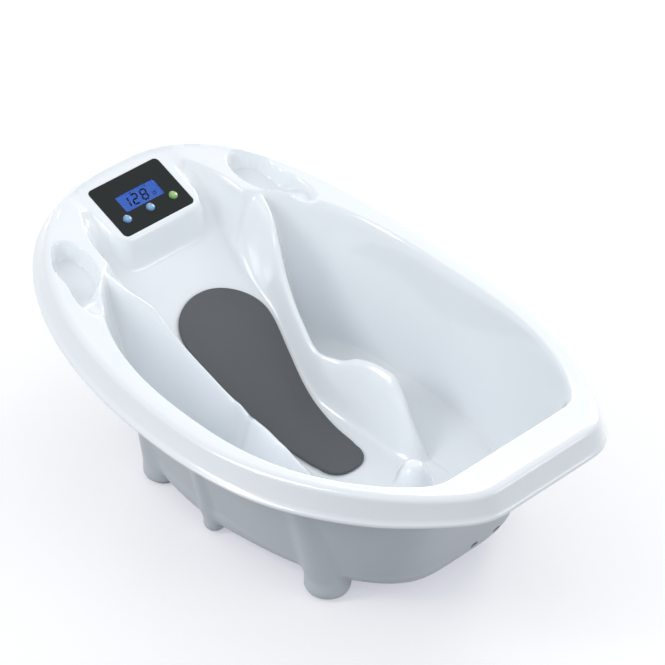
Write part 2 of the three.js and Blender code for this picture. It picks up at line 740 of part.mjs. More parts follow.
function tubShell() {
  const frame = onPod(box(FRAME_X[0], FRAME_X[1], -FRAME_Y, FRAME_Y, -FRAME_DEEP, -1.5));
  const drainTube = rod(DRAIN_BORE + DRAIN_WALL, BASE_Z - 1, tubeTop, 24).translate([DRAIN_X, 0, 0]);
  const bosses = [];
  for (const [x, y] of BOSSES) {
    for (const [, s] of sides) {
      bosses.push(rod(BOSS_R, BASE_Z + BASE_WALL + GAP, BOSS_TOP, 8).translate([x, s * y, 0]));
    }
  }
  const added = joined([frame, drainTube, ...bosses]).intersect(insideShell);
  const body = shellSolid().add(added);
  const cuts = [
    onPod(plate(PANEL_X + 2 * GAP, PANEL_Y + 2 * GAP, PANEL_R + GAP, rebate, 12)),
    onPod(plate(POCKET_X, POCKET_Y, 3, -20, 5, 3)),
    rod(DRAIN_BORE, 0, 90, 24).translate([DRAIN_X, 0, 0]),
    rod(DRAIN_SEAT_R, DRAIN_Z - DRAIN_SEAT, 90, 24).translate([DRAIN_X, 0, 0]),
    atSensor(rod(GROMMET_R + GAP, -9, 9, 12)),
  ];
  for (const [x, y] of trayScrews) {
    cuts.push(onPod(rod(1.8, -FRAME_DEEP - CUT, rebate - 1.2, 8).translate([x, y, 0])));
  }
  for (const [x, y] of BOSSES) {
    for (const [, s] of sides) cuts.push(rod(SCREW_R + GAP, 0, 36, 8).translate([x, s * y, 0]));
  }
  return mainBody(cutBy(body, cuts));
}

// Base shell: a hull under the tub with legs, columns and feet
const baseFootR = outline(BASE_FOOT);
const baseTopR = outline(BASE_TOP);

const BASE_COLUMNS = 48;
const UNDER_AIR = 2;

// Point of the base wall in direction th: share 0 at the crease level, 1 at the rim
function wallPoint(th, share, inset) {
  const r = lerp(floorR(th) + BASE_AIR, baseTopR(th), share) - inset;
  const x = r * Math.cos(th);
  return [x, r * Math.sin(th), lerp(CREASE_Z, rimZ(x), share)];
}

// Highest share at which the wall still stays clear of the tub above it
function wallShare(th) {
  let share = 0;
  const clear = (t) => [0, BASE_WALL].every((inset) => {
    const [x, y, z] = wallPoint(th, t, inset);
    return z + UNDER_AIR < underZ(x, y);
  });
  while (share < 1 && clear(share + 0.01)) share += 0.01;
  return share;
}
const baseAngles = Array.from({ length: BASE_COLUMNS }, (_, i) => ((i + 0.5) * 2 * Math.PI) / BASE_COLUMNS);
const columnShare = baseAngles.map(wallShare);

function hull(inset, bottom, over) {
  const rows = [[0, 0, -3], [0.16, 0.25, 1], [0.45, 0.62, 2], [1, 1, 0]];
  const around = (make) => baseAngles.map(make);
  const bilge = rows.map(([up, out, bulge]) => around((th) => {
    const r = lerp(baseFootR(th), floorR(th) + BASE_AIR, out) + bulge - inset;
    return [r * Math.cos(th), r * Math.sin(th), lerp(bottom, CREASE_Z, up)];
  }));
  const top = around((th, i) => wallPoint(th, columnShare[i] + over, inset));
  return loft([...bilge, top]);
}

// Leg that narrows and leans out as it rises along the wall
function leaning(leg, s, z0, inset) {
  const at = (z) => {
    const t = clamp01((z - 30) / (leg.topZ - 30));
    return [lerp(leg.x, leg.topX, t), s * lerp(leg.y, leg.topY, t)];
  };
  const sizes = [
    [leg.r - leg.round, z0], [leg.r - leg.round * 0.28, z0 + 1.6], [leg.r, z0 + 6],
    [leg.r, 30], [leg.topR, leg.topZ],
  ];
  return turned(sizes.map(([r, z]) => [r - inset, z]), 16, at);
}
const LEGS = [
  {
    x: LEG_X, y: LEG_Y, r: LEG_R, round: 7, topX: LEG_TOP_X, topY: LEG_TOP_Y, topR: LEG_TOP_R, topZ: LEG_TOP_Z,
  },
  {
    x: COLUMN_X, y: COLUMN_Y, r: COLUMN_R, round: 7,
    topX: COLUMN_X, topY: COLUMN_TOP_Y, topR: COLUMN_TOP_R, topZ: COLUMN_TOP_Z,
  },
  {
    x: HEAD_FOOT_X, y: HEAD_FOOT_Y, r: HEAD_FOOT_R, round: 4.4,
    topX: HEAD_TOP_X, topY: HEAD_TOP_Y, topR: HEAD_TOP_R, topZ: HEAD_TOP_Z,
  },
];

function baseShell() {
  const outer = [hull(0, BASE_Z, 0)];
  const inner = [hull(BASE_WALL, BASE_Z + BASE_WALL, 0.02)];
  const bores = [];
  for (const [, s] of sides) {
    for (const leg of LEGS) {
      outer.push(leaning(leg, s, SOLE_Z, 0));
      inner.push(leaning(leg, s, BASE_Z + BASE_WALL, BASE_WALL));
    }
    for (const [x, y] of [[LEG_X, LEG_Y], [HEAD_FOOT_X, HEAD_FOOT_Y]]) {
      bores.push(rod(BORE_R, 0, BORE_TOP, 16).translate([x, s * y, 0]));
      bores.push(rod(8, 0, BORE_TOP + 1.5, 8).translate([x, s * y, 0]));
      bores.push(rod(LEAD_R + 1.8, 0, 40, 8).translate([x - 11, s * (y - 11), 0]));
    }
    for (const [x, y] of BOSSES) bores.push(rod(SCREW_R + GAP, 0, 40, 8).translate([x, s * y, 0]));
  }
  let body = cutBy(joined(outer), inner);
  body = body.add(rod(DRAIN_BORE + DRAIN_WALL + 3, BASE_Z, BASE_Z + 6, 24).translate([DRAIN_X, 0, 0]));
  for (const [x, y] of boardPosts) {
    body = body.add(rod(3, BASE_Z + 1, BOARD_SEAT, 8).translate([x, y, 0]));
  }
  bores.push(rod(DRAIN_BORE + DRAIN_WALL + GAP, 0, 40, 24).translate([DRAIN_X, 0, 0]));
  bores.push(rod(PORT_R, -14, 14, 12).rotate([0, 90, 0]).translate([PORT_AT[0], 0, PORT_AT[1]]));
  for (const y of VENTS) bores.push(ventSlot(y));
  return mainBody(cutBy(body, [...bores, aboveUnder]));
}

// Two oval vent slots at the foot end of the base
const VENTS = [15, 56];
const VENT_Z = 46;
function ventSlot(y) {
  const oval = turned([[4, -14], [4, 14]], 12).scale([1, 1.7, 1]).rotate([0, 90, 0]);
  return oval.translate([FLOOR.foot + 4, y, VENT_Z]);
}

// Junction board in the base, and the leads
const JUNCTION_X = 30;
const JUNCTION_HALF = 22;
const BOARD_SEAT = 22;
const boardPosts = [];
for (const sx of [-1, 1]) {
  for (const sy of [-1, 1]) boardPosts.push([JUNCTION_X + sx * (JUNCTION_HALF - 4), sy * (JUNCTION_HALF - 4)]);
}
const HARNESS_R = 2.5;
const LEAD_R = 1.4;
const PORT_R = 8;
const PORT_AT = [-265, 144];

// Round lead through a list of points
function lead(points, r) {
  const at = points.map((p) => new THREE.Vector3(...p));
  const last = at.length - 1;
  const side = new THREE.Vector3(0.31, 0.9, 0.3);
  return loft(at.map((p, k) => {
    const into = p.clone().sub(at[Math.max(k - 1, 0)]).normalize();
    const away = at[Math.min(k + 1, last)].clone().sub(p).normalize();
    const along = into.add(away).normalize();
    const u = side.addScaledVector(along, -side.dot(along)).normalize().clone();
    const v = along.clone().cross(u);
    return Array.from({ length: 6 }, (_, i) => {
      const a = (i * Math.PI) / 3;
      return p.clone().addScaledVector(u, r * Math.cos(a)).addScaledVector(v, r * Math.sin(a)).toArray();
    });
  }));
}

const white = () => material("#f4f7f9", 0.22);
const grey = () => material("#aeb5bb", 0.4);
const rubber = () => material("#1d1e20", 0.85);
const steel = () => material("#b9bdc2", 0.3, 0.9);
const circuit = () => material("#1f6b45", 0.5);

addPart("tub_shell", tubShell(), white());
addPart("base_shell", baseShell(), grey());

// Mat: a plate that follows the ramp, with a rounded upper edge
function seatMat() {
  const rings = matStations().map(([x, half]) => {
    const shoulder = Math.min(1.2, half / 4);
    const over = (y, dz) => [x, y, surfaceZ(x, y) + dz];
    const low = [-1, -0.5, 0, 0.5, 1].map((t) => over(t * half, MAT_AIR));
    const rounded = [half - 0.3 * shoulder, half - shoulder, 0.5 * half, 0];
    const right = rounded.map((y, i) => over(y, MAT_AIR + MAT_THICK - [0.6 * shoulder, 0, 0, 0][i]));
    const left = rounded.slice(0, 3).reverse()
      .map((y, i) => over(-y, MAT_AIR + MAT_THICK - [0, 0, 0.6 * shoulder][i]));
    return [...low, ...right, ...left];
  });
  return loft(rings);
}
addPart("seat_mat", seatMat(), material("#5d6065", 0.8));

// Display panel with window and button holes
const panelTop = PANEL_PROUD;
const panelLow = PANEL_PROUD - PANEL_THICK;
const buttonY = [-BUTTON_PITCH, 0, BUTTON_PITCH];
const panelCuts = [
  plate(WINDOW_X, WINDOW_Y, 2, panelLow - CUT, panelTop + CUT, 2).translate([WINDOW_AT, 0, 0]),
  ...buttonY.map((y) => rod(BUTTON_R + GAP, panelLow - CUT, panelTop + CUT, 16).translate([BUTTON_AT, y, 0])),
];
const panel = cutBy(plate(PANEL_X, PANEL_Y, PANEL_R, panelLow, panelTop), panelCuts);
addPart("control_panel", onPod(panel), material("#2a2e30", 0.18));

const lensTop = panelTop - 0.2;
const lens = plate(WINDOW_X - 2 * GAP, WINDOW_Y - 2 * GAP, 2, lensTop - LENS_THICK, lensTop, 2)
  .translate([WINDOW_AT, 0, 0]);
addPart("display_lens", onPod(lens), material("#4469be", 0.12));

const lcdTop = panelLow - GAP;
const lcdFrom = -20;
const lcdTo = BUTTON_AT - BUTTON_R - 1.3 - GAP;
const lcdHalf = WINDOW_Y / 2 + 5;
const lcd = box(lcdFrom, lcdTo, -lcdHalf, lcdHalf, lcdTop - LCD_THICK, lcdTop);
addPart("lcd_module", onPod(lcd), material("#8fa08c", 0.3));

const lightTop = lcdTop - LCD_THICK - GAP;
const boardTop = -FRAME_DEEP - GAP - 4;
let light = box(lcdFrom, lcdTo, -lcdHalf, lcdHalf, lightTop - LIGHT_THICK, lightTop);
for (const sx of [lcdFrom + 2, lcdTo - 2]) {
  for (const sy of [-1, 1]) {
    light = light.add(box(sx - 1.5, sx + 1.5, sy * (lcdHalf - 3) - 1.5, sy * (lcdHalf - 3) + 1.5,
      boardTop + GAP, lightTop - 1));
  }
}
addPart("backlight_plate", onPod(light), material("#e8eef5", 0.35));

const board = box(-BOARD_X / 2, BOARD_X / 2, -BOARD_Y / 2, BOARD_Y / 2, boardTop - BOARD_THICK, boardTop);
addPart("main_board", onPod(board),
  circuit());

// Buttons: dome, flange under the panel and a stem down to the switch mat
const flangeTop = panelLow - GAP;
const flangeLow = flangeTop - BUTTON_FLANGE;
const domeTop = panelTop + BUTTON_DOME;
const matTop = boardTop + GAP + 1.4;
const switchTop = matTop + 1.6;
const stemLow = switchTop + BUTTON_TRAVEL + GAP;
function button() {
  const cap = turned([
    [BUTTON_R + 0.9, flangeLow], [BUTTON_R + 0.9, flangeTop], [BUTTON_R, flangeTop], [BUTTON_R, panelTop + 0.4],
    [BUTTON_R * 0.87, panelTop + 1.6], [BUTTON_R * 0.5, domeTop],
  ], 16);
  return cap.add(rod(2.2, stemLow, flangeTop, 8));
}
const buttonNames = [["power_button", "#78a5d7"], ["tare_button", "#78a5d7"], ["hold_button", "#8cbe5a"]];
buttonNames.forEach(([name, colour], i) => {
  addPart(name, onPod(button().translate([BUTTON_AT, buttonY[i], 0])), material(colour, 0.15));
});

let switchMat = box(BUTTON_AT - 6, BUTTON_AT + 6, -BUTTON_PITCH - 7, BUTTON_PITCH + 7, boardTop + GAP, matTop);
for (const y of buttonY) {
  switchMat = switchMat.add(turned([[4.2, matTop - 0.5], [2.8, switchTop]], 10)
    .translate([BUTTON_AT, y, 0]));
}
addPart("switch_mat", onPod(switchMat), material("#d9d9d4", 0.8));

// Electronics tray with battery box, below the pod frame
const trayTop = -FRAME_DEEP - GAP;
const trayFlange = 2.2;
const boardLow = boardTop - BOARD_THICK;
const trayIn = boardLow - GAP - 1.8;
const trayLow = trayIn - TRAY_WALL;
const bayX = CELL_PITCH + CELL_R + GAP + 0.4;
const contactThick = 1;
const bayY = CELL_LONG / 2 + 2 * GAP + contactThick + GAP;
const cellZ = trayLow - GAP - CELL_R;
const bayLow = cellZ - CELL_R - GAP;
function electronicsTray() {
  const halfX = BOARD_X / 2 + 1 + TRAY_WALL;
  const halfY = BOARD_Y / 2 + 1 + TRAY_WALL;
  let tray = plate(FRAME_X[1] * 2 + 2, FRAME_Y * 2 - 4, 4, trayTop - trayFlange, trayTop, 3);
  tray = tray.add(box(-halfX, halfX, -halfY, halfY, trayLow, trayTop - 1));
  tray = tray.subtract(box(-halfX + TRAY_WALL, halfX - TRAY_WALL, -halfY + TRAY_WALL, halfY - TRAY_WALL,
    trayIn, trayTop + CUT));
  const bayOut = [bayX + TRAY_WALL, bayY + TRAY_WALL];
  tray = tray.add(box(-bayOut[0], bayOut[0], -bayOut[1], bayOut[1], bayLow, trayLow + 1));
  tray = tray.subtract(box(-bayX, bayX, -bayY, bayY, bayLow - CUT, trayLow));
  for (const sx of [-1, 1]) {
    for (const sy of [-1, 1]) {
      const post = rod(3, trayIn - 1, boardLow - GAP, 8);
      tray = tray.add(post.translate([sx * (BOARD_X / 2 - 4), sy * (BOARD_Y / 2 - 4), 0]));
    }
  }
  for (const [x, y] of trayScrews) {
    tray = tray.subtract(rod(1.8, trayTop - 6, trayTop + CUT, 8).translate([x, y, 0]));
  }
  const port = rod(HARNESS_R + GAP, -6, 6, 10).rotate([0, 90, 0]);
  tray = tray.subtract(port.translate([halfX - 1, 0, TRAY_PORT_Z]));
  return tray;
}
const TRAY_PORT_Z = boardLow - 0.4;
addPart("electronics_tray", onPod(electronicsTray()), material("#c9ced2", 0.5));

const doorTop = bayLow - GAP;
let door = plate(2 * (bayX + TRAY_WALL), 2 * (bayY + TRAY_WALL), 2, doorTop - 2, doorTop, 2);
door = door.add(box(-bayX + 1, bayX - 1, -1, 1, doorTop - 2.8, doorTop - 1));
addPart("battery_door", onPod(door), material("#c9ced2", 0.5));

[-1, 0, 1].forEach((k, i) => {
  const cell = turned([
    [CELL_R, 0], [CELL_R, CELL_LONG - 1.2], [1.9, CELL_LONG - 1.2], [1.9, CELL_LONG],
  ], 12).translate([0, 0, -CELL_LONG / 2]).rotate([k === 0 ? 90 : -90, 0, 0]);
  addPart(`battery_${i + 1}`, onPod(cell.translate([k * CELL_PITCH, 0, cellZ])), material("#3f4a55", 0.4, 0.3));
});
for (const [side, s] of sides) {
  const y = s * (CELL_LONG / 2 + GAP + contactThick / 2);
  const strip = box(-bayX + 1, bayX - 1, y - contactThick / 2, y + contactThick / 2, cellZ - 3, cellZ + 3);
  addPart(`battery_contact_${side}`, onPod(strip), steel());
}
trayScrews.forEach(([x, y], i) => {
  const screw = turned([[3, trayTop - trayFlange - GAP - 1.8], [3, trayTop - trayFlange - GAP],
    [1.5, trayTop - trayFlange - GAP], [1.5, rebate - 1.6]], 8);
  addPart(`tray_screw_${i + 1}`, onPod(screw.translate([x, y, 0])), steel());
});

// Feet: rubber pad, cap with a centre pin, load cell under the bore roof
const capLow = PAD_THICK + GAP;
const cellTop = BORE_TOP - GAP;
const pinTop = cellTop - CELL_THICK - GAP;
for (const [end, x, y] of [["head", HEAD_FOOT_X, HEAD_FOOT_Y], ["foot", LEG_X, LEG_Y]]) {
  for (const [side, s] of sides) {
    const at = [x, s * y, 0];
    const pad = turned([[PAD_R - 1, 0], [PAD_R, 1], [PAD_R, PAD_THICK]], 16);
    addPart(`foot_pad_${end}_${side}`, pad.translate(at), rubber());
    const cap = turned([[BORE_R - GAP, capLow], [BORE_R - GAP, capLow + 3], [4, capLow + 3], [4, pinTop]], 16);
    addPart(`foot_cap_${end}_${side}`, cap.translate(at), material("#8f969c", 0.5));
    const half = CELL_SIDE / 2;
    let cell = plate(CELL_SIDE, CELL_SIDE, 2, cellTop - CELL_THICK, cellTop, 2);
    for (const k of [-1, 1]) {
      const slit = box(-half + 5, half - 5, k * 7 - 1.2, k * 7 + 1.2, cellTop - CELL_THICK - CUT, cellTop + CUT);
      cell = cell.subtract(slit);
    }
    addPart(`load_cell_${end}_${side}`, cell.translate(at), steel());
    const low = BASE_Z + BASE_WALL + GAP + LEAD_R + 0.2;
    const rise = [x - 11, s * (y - 11)];
    const endX = end === "head" ? JUNCTION_X - JUNCTION_HALF - 1 : JUNCTION_X + JUNCTION_HALF + 1;
    const toward = (t, z) => [lerp(rise[0], endX, t), lerp(rise[1], s * 10, t), z];
    const route = [
      toward(0, cellTop + GAP), toward(0, low - 2), toward(0.01, low - 0.6), toward(0.03, low),
      toward(0.85, low), toward(0.95, BOARD_SEAT), toward(1, BOARD_SEAT + 1.1),
    ];
    addPart(`cell_lead_${end}_${side}`, lead(route, LEAD_R), material("#2b2d30", 0.6));
  }
}

// Junction board, harness up to the tray, sensor and its lead
const junction = box(
  JUNCTION_X - JUNCTION_HALF, JUNCTION_X + JUNCTION_HALF, -JUNCTION_HALF, JUNCTION_HALF,
  BOARD_SEAT + GAP, BOARD_SEAT + GAP + BOARD_THICK,
);
addPart("junction_board", junction, circuit());

const along = BASE_Z + BASE_WALL + GAP + HARNESS_R + 0.2;
const atTray = (past, down) => new THREE.Vector3(BOARD_X / 2 + past, 0, TRAY_PORT_Z - down)
  .applyMatrix4(podFrame).toArray();
const harnessRoute = [
  [JUNCTION_X - JUNCTION_HALF - GAP, 0, BOARD_SEAT + 1.1], [JUNCTION_X - JUNCTION_HALF - 14, 0, along],
  [-170, 0, along], [-214, 0, 34], [-238, 0, 90], [-252, 0, 129], [PORT_AT[0], 0, PORT_AT[1]],
  [-284, 0, 158], [-303, 0, 184], atTray(13, 9), atTray(8.5, 1), atTray(5, 0), atTray(2 * GAP, 0),
];
addPart("harness", lead(harnessRoute, HARNESS_R), material("#2b2d30", 0.6));

const sleeve = turned([[GROMMET_R, -7], [GROMMET_R, 0.4], [GROMMET_R - 0.6, 0.8]], 16)
  .subtract(rod(SENSOR_R + GAP, -9, 9, 16));
addPart("sensor_grommet", atSensor(sleeve), material("#e9edf0", 0.5));
const probe = turned([[SENSOR_R, -9], [SENSOR_R, 1], [SENSOR_R * 0.6, 1.8]], 16);
addPart("temperature_sensor", atSensor(probe), material("#6d7378", 0.3, 0.8));
const probeDown = new THREE.Vector3(0, 0, -9 - GAP)
  .applyAxisAngle(new THREE.Vector3(0, 1, 0), THREE.MathUtils.degToRad(sensorTurn));
const leadStart = [sensorX + probeDown.x, 0, SENSOR_Z + probeDown.z];
const lowLead = BASE_Z + BASE_WALL + GAP + LEAD_R + 0.2;
addPart("sensor_lead", lead([
  leadStart, [leadStart[0] + 5, 0, leadStart[2] - 2], [leadStart[0] + 9, 0, leadStart[2] - 7],
  [leadStart[0] + 10, 0, leadStart[2] - 14], [POST_X - 10, 0, 40], [POST_X - 16, 0, lowLead + 6],
  [POST_X - 26, 0, lowLead], [JUNCTION_X + JUNCTION_HALF + 12, 0, lowLead],
  [JUNCTION_X + JUNCTION_HALF + 4, 0, BOARD_SEAT + 1], [JUNCTION_X + JUNCTION_HALF + GAP, 0, BOARD_SEAT + 1.1],
], LEAD_R), material("#2b2d30", 0.6));

// Drain: rubber seal in the floor and a plug that lifts out
const sealTop = DRAIN_Z + 0.2;
let seal = turned([
  [DRAIN_BORE - GAP, DRAIN_Z - 12], [DRAIN_BORE - GAP, DRAIN_Z - DRAIN_SEAT + GAP],
  [DRAIN_SEAT_R - GAP, DRAIN_Z - DRAIN_SEAT + GAP], [DRAIN_SEAT_R - GAP, sealTop],
], 24);
seal = seal.subtract(rod(PLUG_R + GAP, 0, 90, 24));
addPart("drain_seal", seal.translate([DRAIN_X, 0, 0]), material("#8a8f94", 0.8));
let plug = turned([
  [PLUG_R - 1, DRAIN_Z - 11], [PLUG_R, DRAIN_Z - 9], [PLUG_R, sealTop + GAP], [PLUG_R + 3.5, sealTop + GAP],
  [PLUG_R + 3.5, sealTop + 2], [PLUG_R + 2, sealTop + 3],
], 24);
plug = plug.add(box(-6, 6, -1.3, 1.3, sealTop + 2, sealTop + 10));
addPart("drain_plug", plug.translate([DRAIN_X, 0, 0]), material("#dfe4e8", 0.4));

// Case screws from below into the tub bosses
let screwNumber = 0;
for (const [x, y] of BOSSES) {
  for (const [, s] of sides) {
    screwNumber += 1;
    const screw = turned([
      [SCREW_HEAD_R - 1, BASE_Z - GAP - SCREW_HEAD], [SCREW_HEAD_R, BASE_Z - GAP - SCREW_HEAD + 1],
      [SCREW_HEAD_R, BASE_Z - GAP], [SCREW_R, BASE_Z - GAP], [SCREW_R, 34],
    ], 8);
    addPart(`case_screw_${screwNumber}`, screw.translate([x, s * y, 0]), steel());
  }
}

export default group;
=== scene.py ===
"""Looks of the baby bath with scale: moulded shell, footed base, mat and display panel."""

import math

import bmesh
import bpy
import numpy as np
from mathutils import Matrix, Vector, geometry


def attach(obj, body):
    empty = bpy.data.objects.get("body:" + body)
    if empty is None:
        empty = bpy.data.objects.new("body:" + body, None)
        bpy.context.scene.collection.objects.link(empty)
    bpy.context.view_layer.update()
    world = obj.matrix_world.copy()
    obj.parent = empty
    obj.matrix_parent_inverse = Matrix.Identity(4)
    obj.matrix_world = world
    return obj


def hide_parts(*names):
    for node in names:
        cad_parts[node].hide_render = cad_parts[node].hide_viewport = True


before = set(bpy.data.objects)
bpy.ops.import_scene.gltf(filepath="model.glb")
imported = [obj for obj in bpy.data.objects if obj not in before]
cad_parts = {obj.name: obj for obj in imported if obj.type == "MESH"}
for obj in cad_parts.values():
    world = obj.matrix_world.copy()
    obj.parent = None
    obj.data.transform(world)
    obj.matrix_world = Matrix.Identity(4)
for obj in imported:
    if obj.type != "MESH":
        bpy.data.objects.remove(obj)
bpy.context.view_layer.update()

# Everything is worked out in millimetres from the middle of the basin, as the solids are
MM = 0.001
SHELL = 3.4
GAP = 0.3

# Rim and outlines
RIM_MID = 225.6
RIM_RISE = 54.5
RIM_REACH = 410
EDGE = dict(head=410, foot=395, half=251, round=2.5, taper=3.9e-4, power=2.14, corner=12)
BASIN = dict(head=300, foot=328, half=221.5, round=2.5, taper=2.95e-5, power=2.6, corner=20)
FLOOR = dict(head=245, foot=266, half=178.5, round=2.5, taper=2.95e-5, power=2.6, corner=5)
CENTRE = 11.217
CREASE_Z = 52
FLOOR_MID = 44

# Recline ramp, side ridges and crotch post
RAMP = [(-360, 258), (-285, 193), (-230, 155), (-170, 131), (-100, 82), (-45, 54), (15, 44), (160, 44)]
CREST = [
    (-300, 124, 248), (-262, 134, 246), (-232, 127, 234), (-199, 109, 214), (-169, 97, 178),
    (-123, 83, 139), (-75, 74, 113), (-45, 82, 115), (-20, 92, 126), (8, 98, 130.5), (34, 101.5, 128.5),
    (58, 97, 114), (84, 88, 92), (112, 84, 62), (140, 84, 30),
]
TROUGH = [(-360, 90), (-285, 86), (-230, 81), (-170, 74), (-123, 62), (-75, 52),
          (-40, 50), (20, 50), (160, 50)]
RIDGE_SLOPE = 4.6
RIDGE_ROUND = 7
POST_X = 180
POST_TOP = 129
POST_HALF = 21
POST_DROP = 20
POST_POWER = 3.2
POST_FRONT, POST_BACK = 1.1, 0.9
SENSOR_Z = 98

# Display pod
POD_BACK_X = -386
POD_BACK_Z = 272
POD_SLOPE = 0.3704
POD_HALF = 72
POD_FACE_X = -299
POD_CORNER = 24
POD_DRAFT = 4.3
PANEL = (86, 121)
PANEL_TOP, PANEL_LOW = 0.6, -2.4
WINDOW = (27, 66)
WINDOW_X = -3
BUTTON_X = 19.7
BUTTON_PITCH = 40
BUTTON_R = 6.5
LENS_TOP, LENS_LOW = 0.4, -1.8
LCD_TOP, LCD_LOW = -2.7, -5.7
POD_TILT = math.atan(POD_SLOPE)
POD_AT_X = POD_BACK_X + PANEL[0] / 2 * math.cos(POD_TILT)

# Drain
DRAIN_X = 236
DRAIN_Z = 48
DRAIN_SEAT_R = 12
DRAIN_BORE = 9


def step(a, b, v):
    t = np.clip((v - a) / (b - a), 0, 1)
    return t * t * (3 - 2 * t)


def smax(a, b, k):
    h = np.maximum(k - np.abs(a - b), 0) / k
    return np.maximum(a, b) + h * h * k * 0.25


def smin(a, b, k):
    return -smax(-a, -b, k)


def lerp(a, b, t):
    return a + (b - a) * t


def curve_at(points, x, item):
    """Smooth curve through named points, by cubic pieces with limited slopes."""
    px = np.array([p[0] for p in points], float)
    py = np.array([p[item] for p in points], float)
    rise = np.diff(py) / np.diff(px)
    slope = np.zeros(len(px))
    a, b = rise[:-1], rise[1:]
    both = a * b > 0
    slope[1:-1][both] = 2 * a[both] * b[both] / (a[both] + b[both])
    x = np.clip(np.asarray(x, float), px[0], px[-1])
    i = np.clip(np.searchsorted(px, x, side="left") - 1, 0, len(px) - 2)
    h = px[i + 1] - px[i]
    t = (x - px[i]) / h
    t2, t3 = t * t, t * t * t
    return ((2 * t3 - 3 * t2 + 1) * py[i] + (t3 - 2 * t2 + t) * slope[i] * h
            + (3 * t2 - 2 * t3) * py[i + 1] + (t3 - t2) * slope[i + 1] * h)


def rim_z(x):
    return RIM_MID + RIM_RISE * (x / RIM_REACH) ** 2


def radius_at(o, th):
    """Radius of a plan outline in the directions th."""
    th = np.asarray(th, float)
    c, s = np.cos(th), np.abs(np.sin(th))
    p = o["round"]
    head = ((np.maximum(-c, 1e-9) / o["head"]) ** p + (s / o["half"]) ** p) ** (-1 / p)
    low = np.zeros_like(th)
    high = np.full_like(th, 2 * o["foot"])
    cp = np.maximum(c, 0)
    for _ in range(40):
        r = (low + high) / 2
        side = o["half"] - o["taper"] * (r * cp) ** o["power"]
        safe = np.maximum(side, 1e-6)
        out = (side <= 0) | ((r * cp / o["foot"]) ** o["corner"] + (r * s / safe) ** o["corner"] > 1)
        high = np.where(out, r, high)
        low = np.where(out, low, r)
    return np.where(c <= 0, head, low)


TABLE_TH = np.linspace(-math.pi, math.pi, 5761)
TABLES = {name: radius_at(o, TABLE_TH) for name, o in (("edge", EDGE), ("basin", BASIN), ("floor", FLOOR))}


def quick_radius(name, th):
    return np.interp(th, TABLE_TH, TABLES[name])


def outline_point(o, th, out):
    """Points on an outline, moved out along its normal."""
    d = 0.004
    r = radius_at(o, th)
    slope = (radius_at(o, th + d) - radius_at(o, th - d)) / (2 * d)
    nx = slope * np.sin(th) + r * np.cos(th)
    ny = r * np.sin(th) - slope * np.cos(th)
    n = np.hypot(nx, ny)
    return r * np.cos(th) + nx / n * out, r * np.sin(th) + ny / n * out


def pod_plane(x):
    return POD_BACK_Z - POD_SLOPE * (x - POD_BACK_X)


def turned_reach(x, ay, cx, cy, long, wide, turn=0.2):
    dx, dy = x - cx, ay - cy
    u = dx * math.cos(turn) + dy * math.sin(turn)
    v = dy * math.cos(turn) - dx * math.sin(turn)
    return np.hypot(u / long, v / wide)


def shelf_z(x, ay):
    """Flange, shelf and pod top, with the soap dishes sunk in."""
    rim = rim_z(x)
    beside = step(POD_HALF + 3, POD_HALF + 22, ay)
    pod = np.where(x < 0, pod_plane(np.minimum(x, -280)), rim)
    level = lerp(smin(rim, pod, 3), rim, beside)
    bowl = (1 - turned_reach(x, ay, -292, 158.5, 48, 28)) * 28
    tail = (1 - turned_reach(x, ay, -243, 179, 44, 18)) * 18
    inside = smax(bowl, tail, 6)
    deep = 23 - 14 * step(-266, -228, x)
    return level - deep * step(0, 7, inside)


def bed_z(x, y):
    """Ramp, side ridges, bolsters and crotch post standing on the bath floor."""
    ay = np.abs(y)
    share = np.minimum(1.2, np.hypot(x, y) / quick_radius("floor", np.arctan2(y, x)))
    floor = FLOOR_MID + (CREASE_Z - FLOOR_MID) * share ** 2
    drain = step(DRAIN_SEAT_R + 3, DRAIN_SEAT_R + 34, np.hypot(x - DRAIN_X, y))
    floor = lerp(DRAIN_Z, floor, drain)
    middle = curve_at(RAMP, x, 1)
    crest_y = curve_at(CREST, x, 1)
    crest_z = np.maximum(middle, curve_at(CREST, x, 2))
    trough_y = curve_at(TROUGH, x, 1)
    over = np.maximum(ay - crest_y, 0)
    fall = RIDGE_SLOPE * (np.sqrt(over ** 2 + RIDGE_ROUND ** 2) - RIDGE_ROUND)
    t = np.clip((ay - trough_y) / (crest_y - trough_y), 0, 1)
    rise = lerp(middle, crest_z, t * t * (3 - 2 * t))
    z = smax(floor, rise - fall, 10)
    q = np.hypot((x - POST_X) / np.where(x < POST_X, POST_FRONT, POST_BACK), y)
    return smax(z, POST_TOP - POST_DROP * (q / POST_HALF) ** POST_POWER, 12)


def surface_z(x, y):
    """Whole moulded upper surface inside the flange edge."""
    ay = np.abs(y)
    th = np.arctan2(y, x)
    top = shelf_z(x, ay)
    rb, rf = quick_radius("basin", th), quick_radius("floor", th)
    run = (rb - np.hypot(x, y)) / (rb - rf)
    rim = rim_z(x)
    wall = rim - (rim - CREASE_Z) * run
    shelf_edge = 117 - 28 * (np.maximum(-272 - x, 0) / 90) ** 2.2
    recess = rim - 3.2 * np.minimum(np.minimum(x + 362, shelf_edge - ay), -150 - x)
    corner_y, corner_x = POD_CORNER - (POD_HALF + 2 - ay), POD_CORNER - (POD_FACE_X - x)
    pod_inside = POD_CORNER - np.hypot(np.maximum(corner_y, 0), np.maximum(corner_x, 0))
    pod_face = pod_plane(x) + POD_DRAFT * pod_inside
    hollow = smax(smin(wall, recess, 8), pod_face, 6)
    roll = 10 + 10 * step(-260, -160, x)
    fillet = 20 - 12 * step(-190, -90, x)
    return smin(top, smax(hollow, bed_z(x, y), fillet), roll)


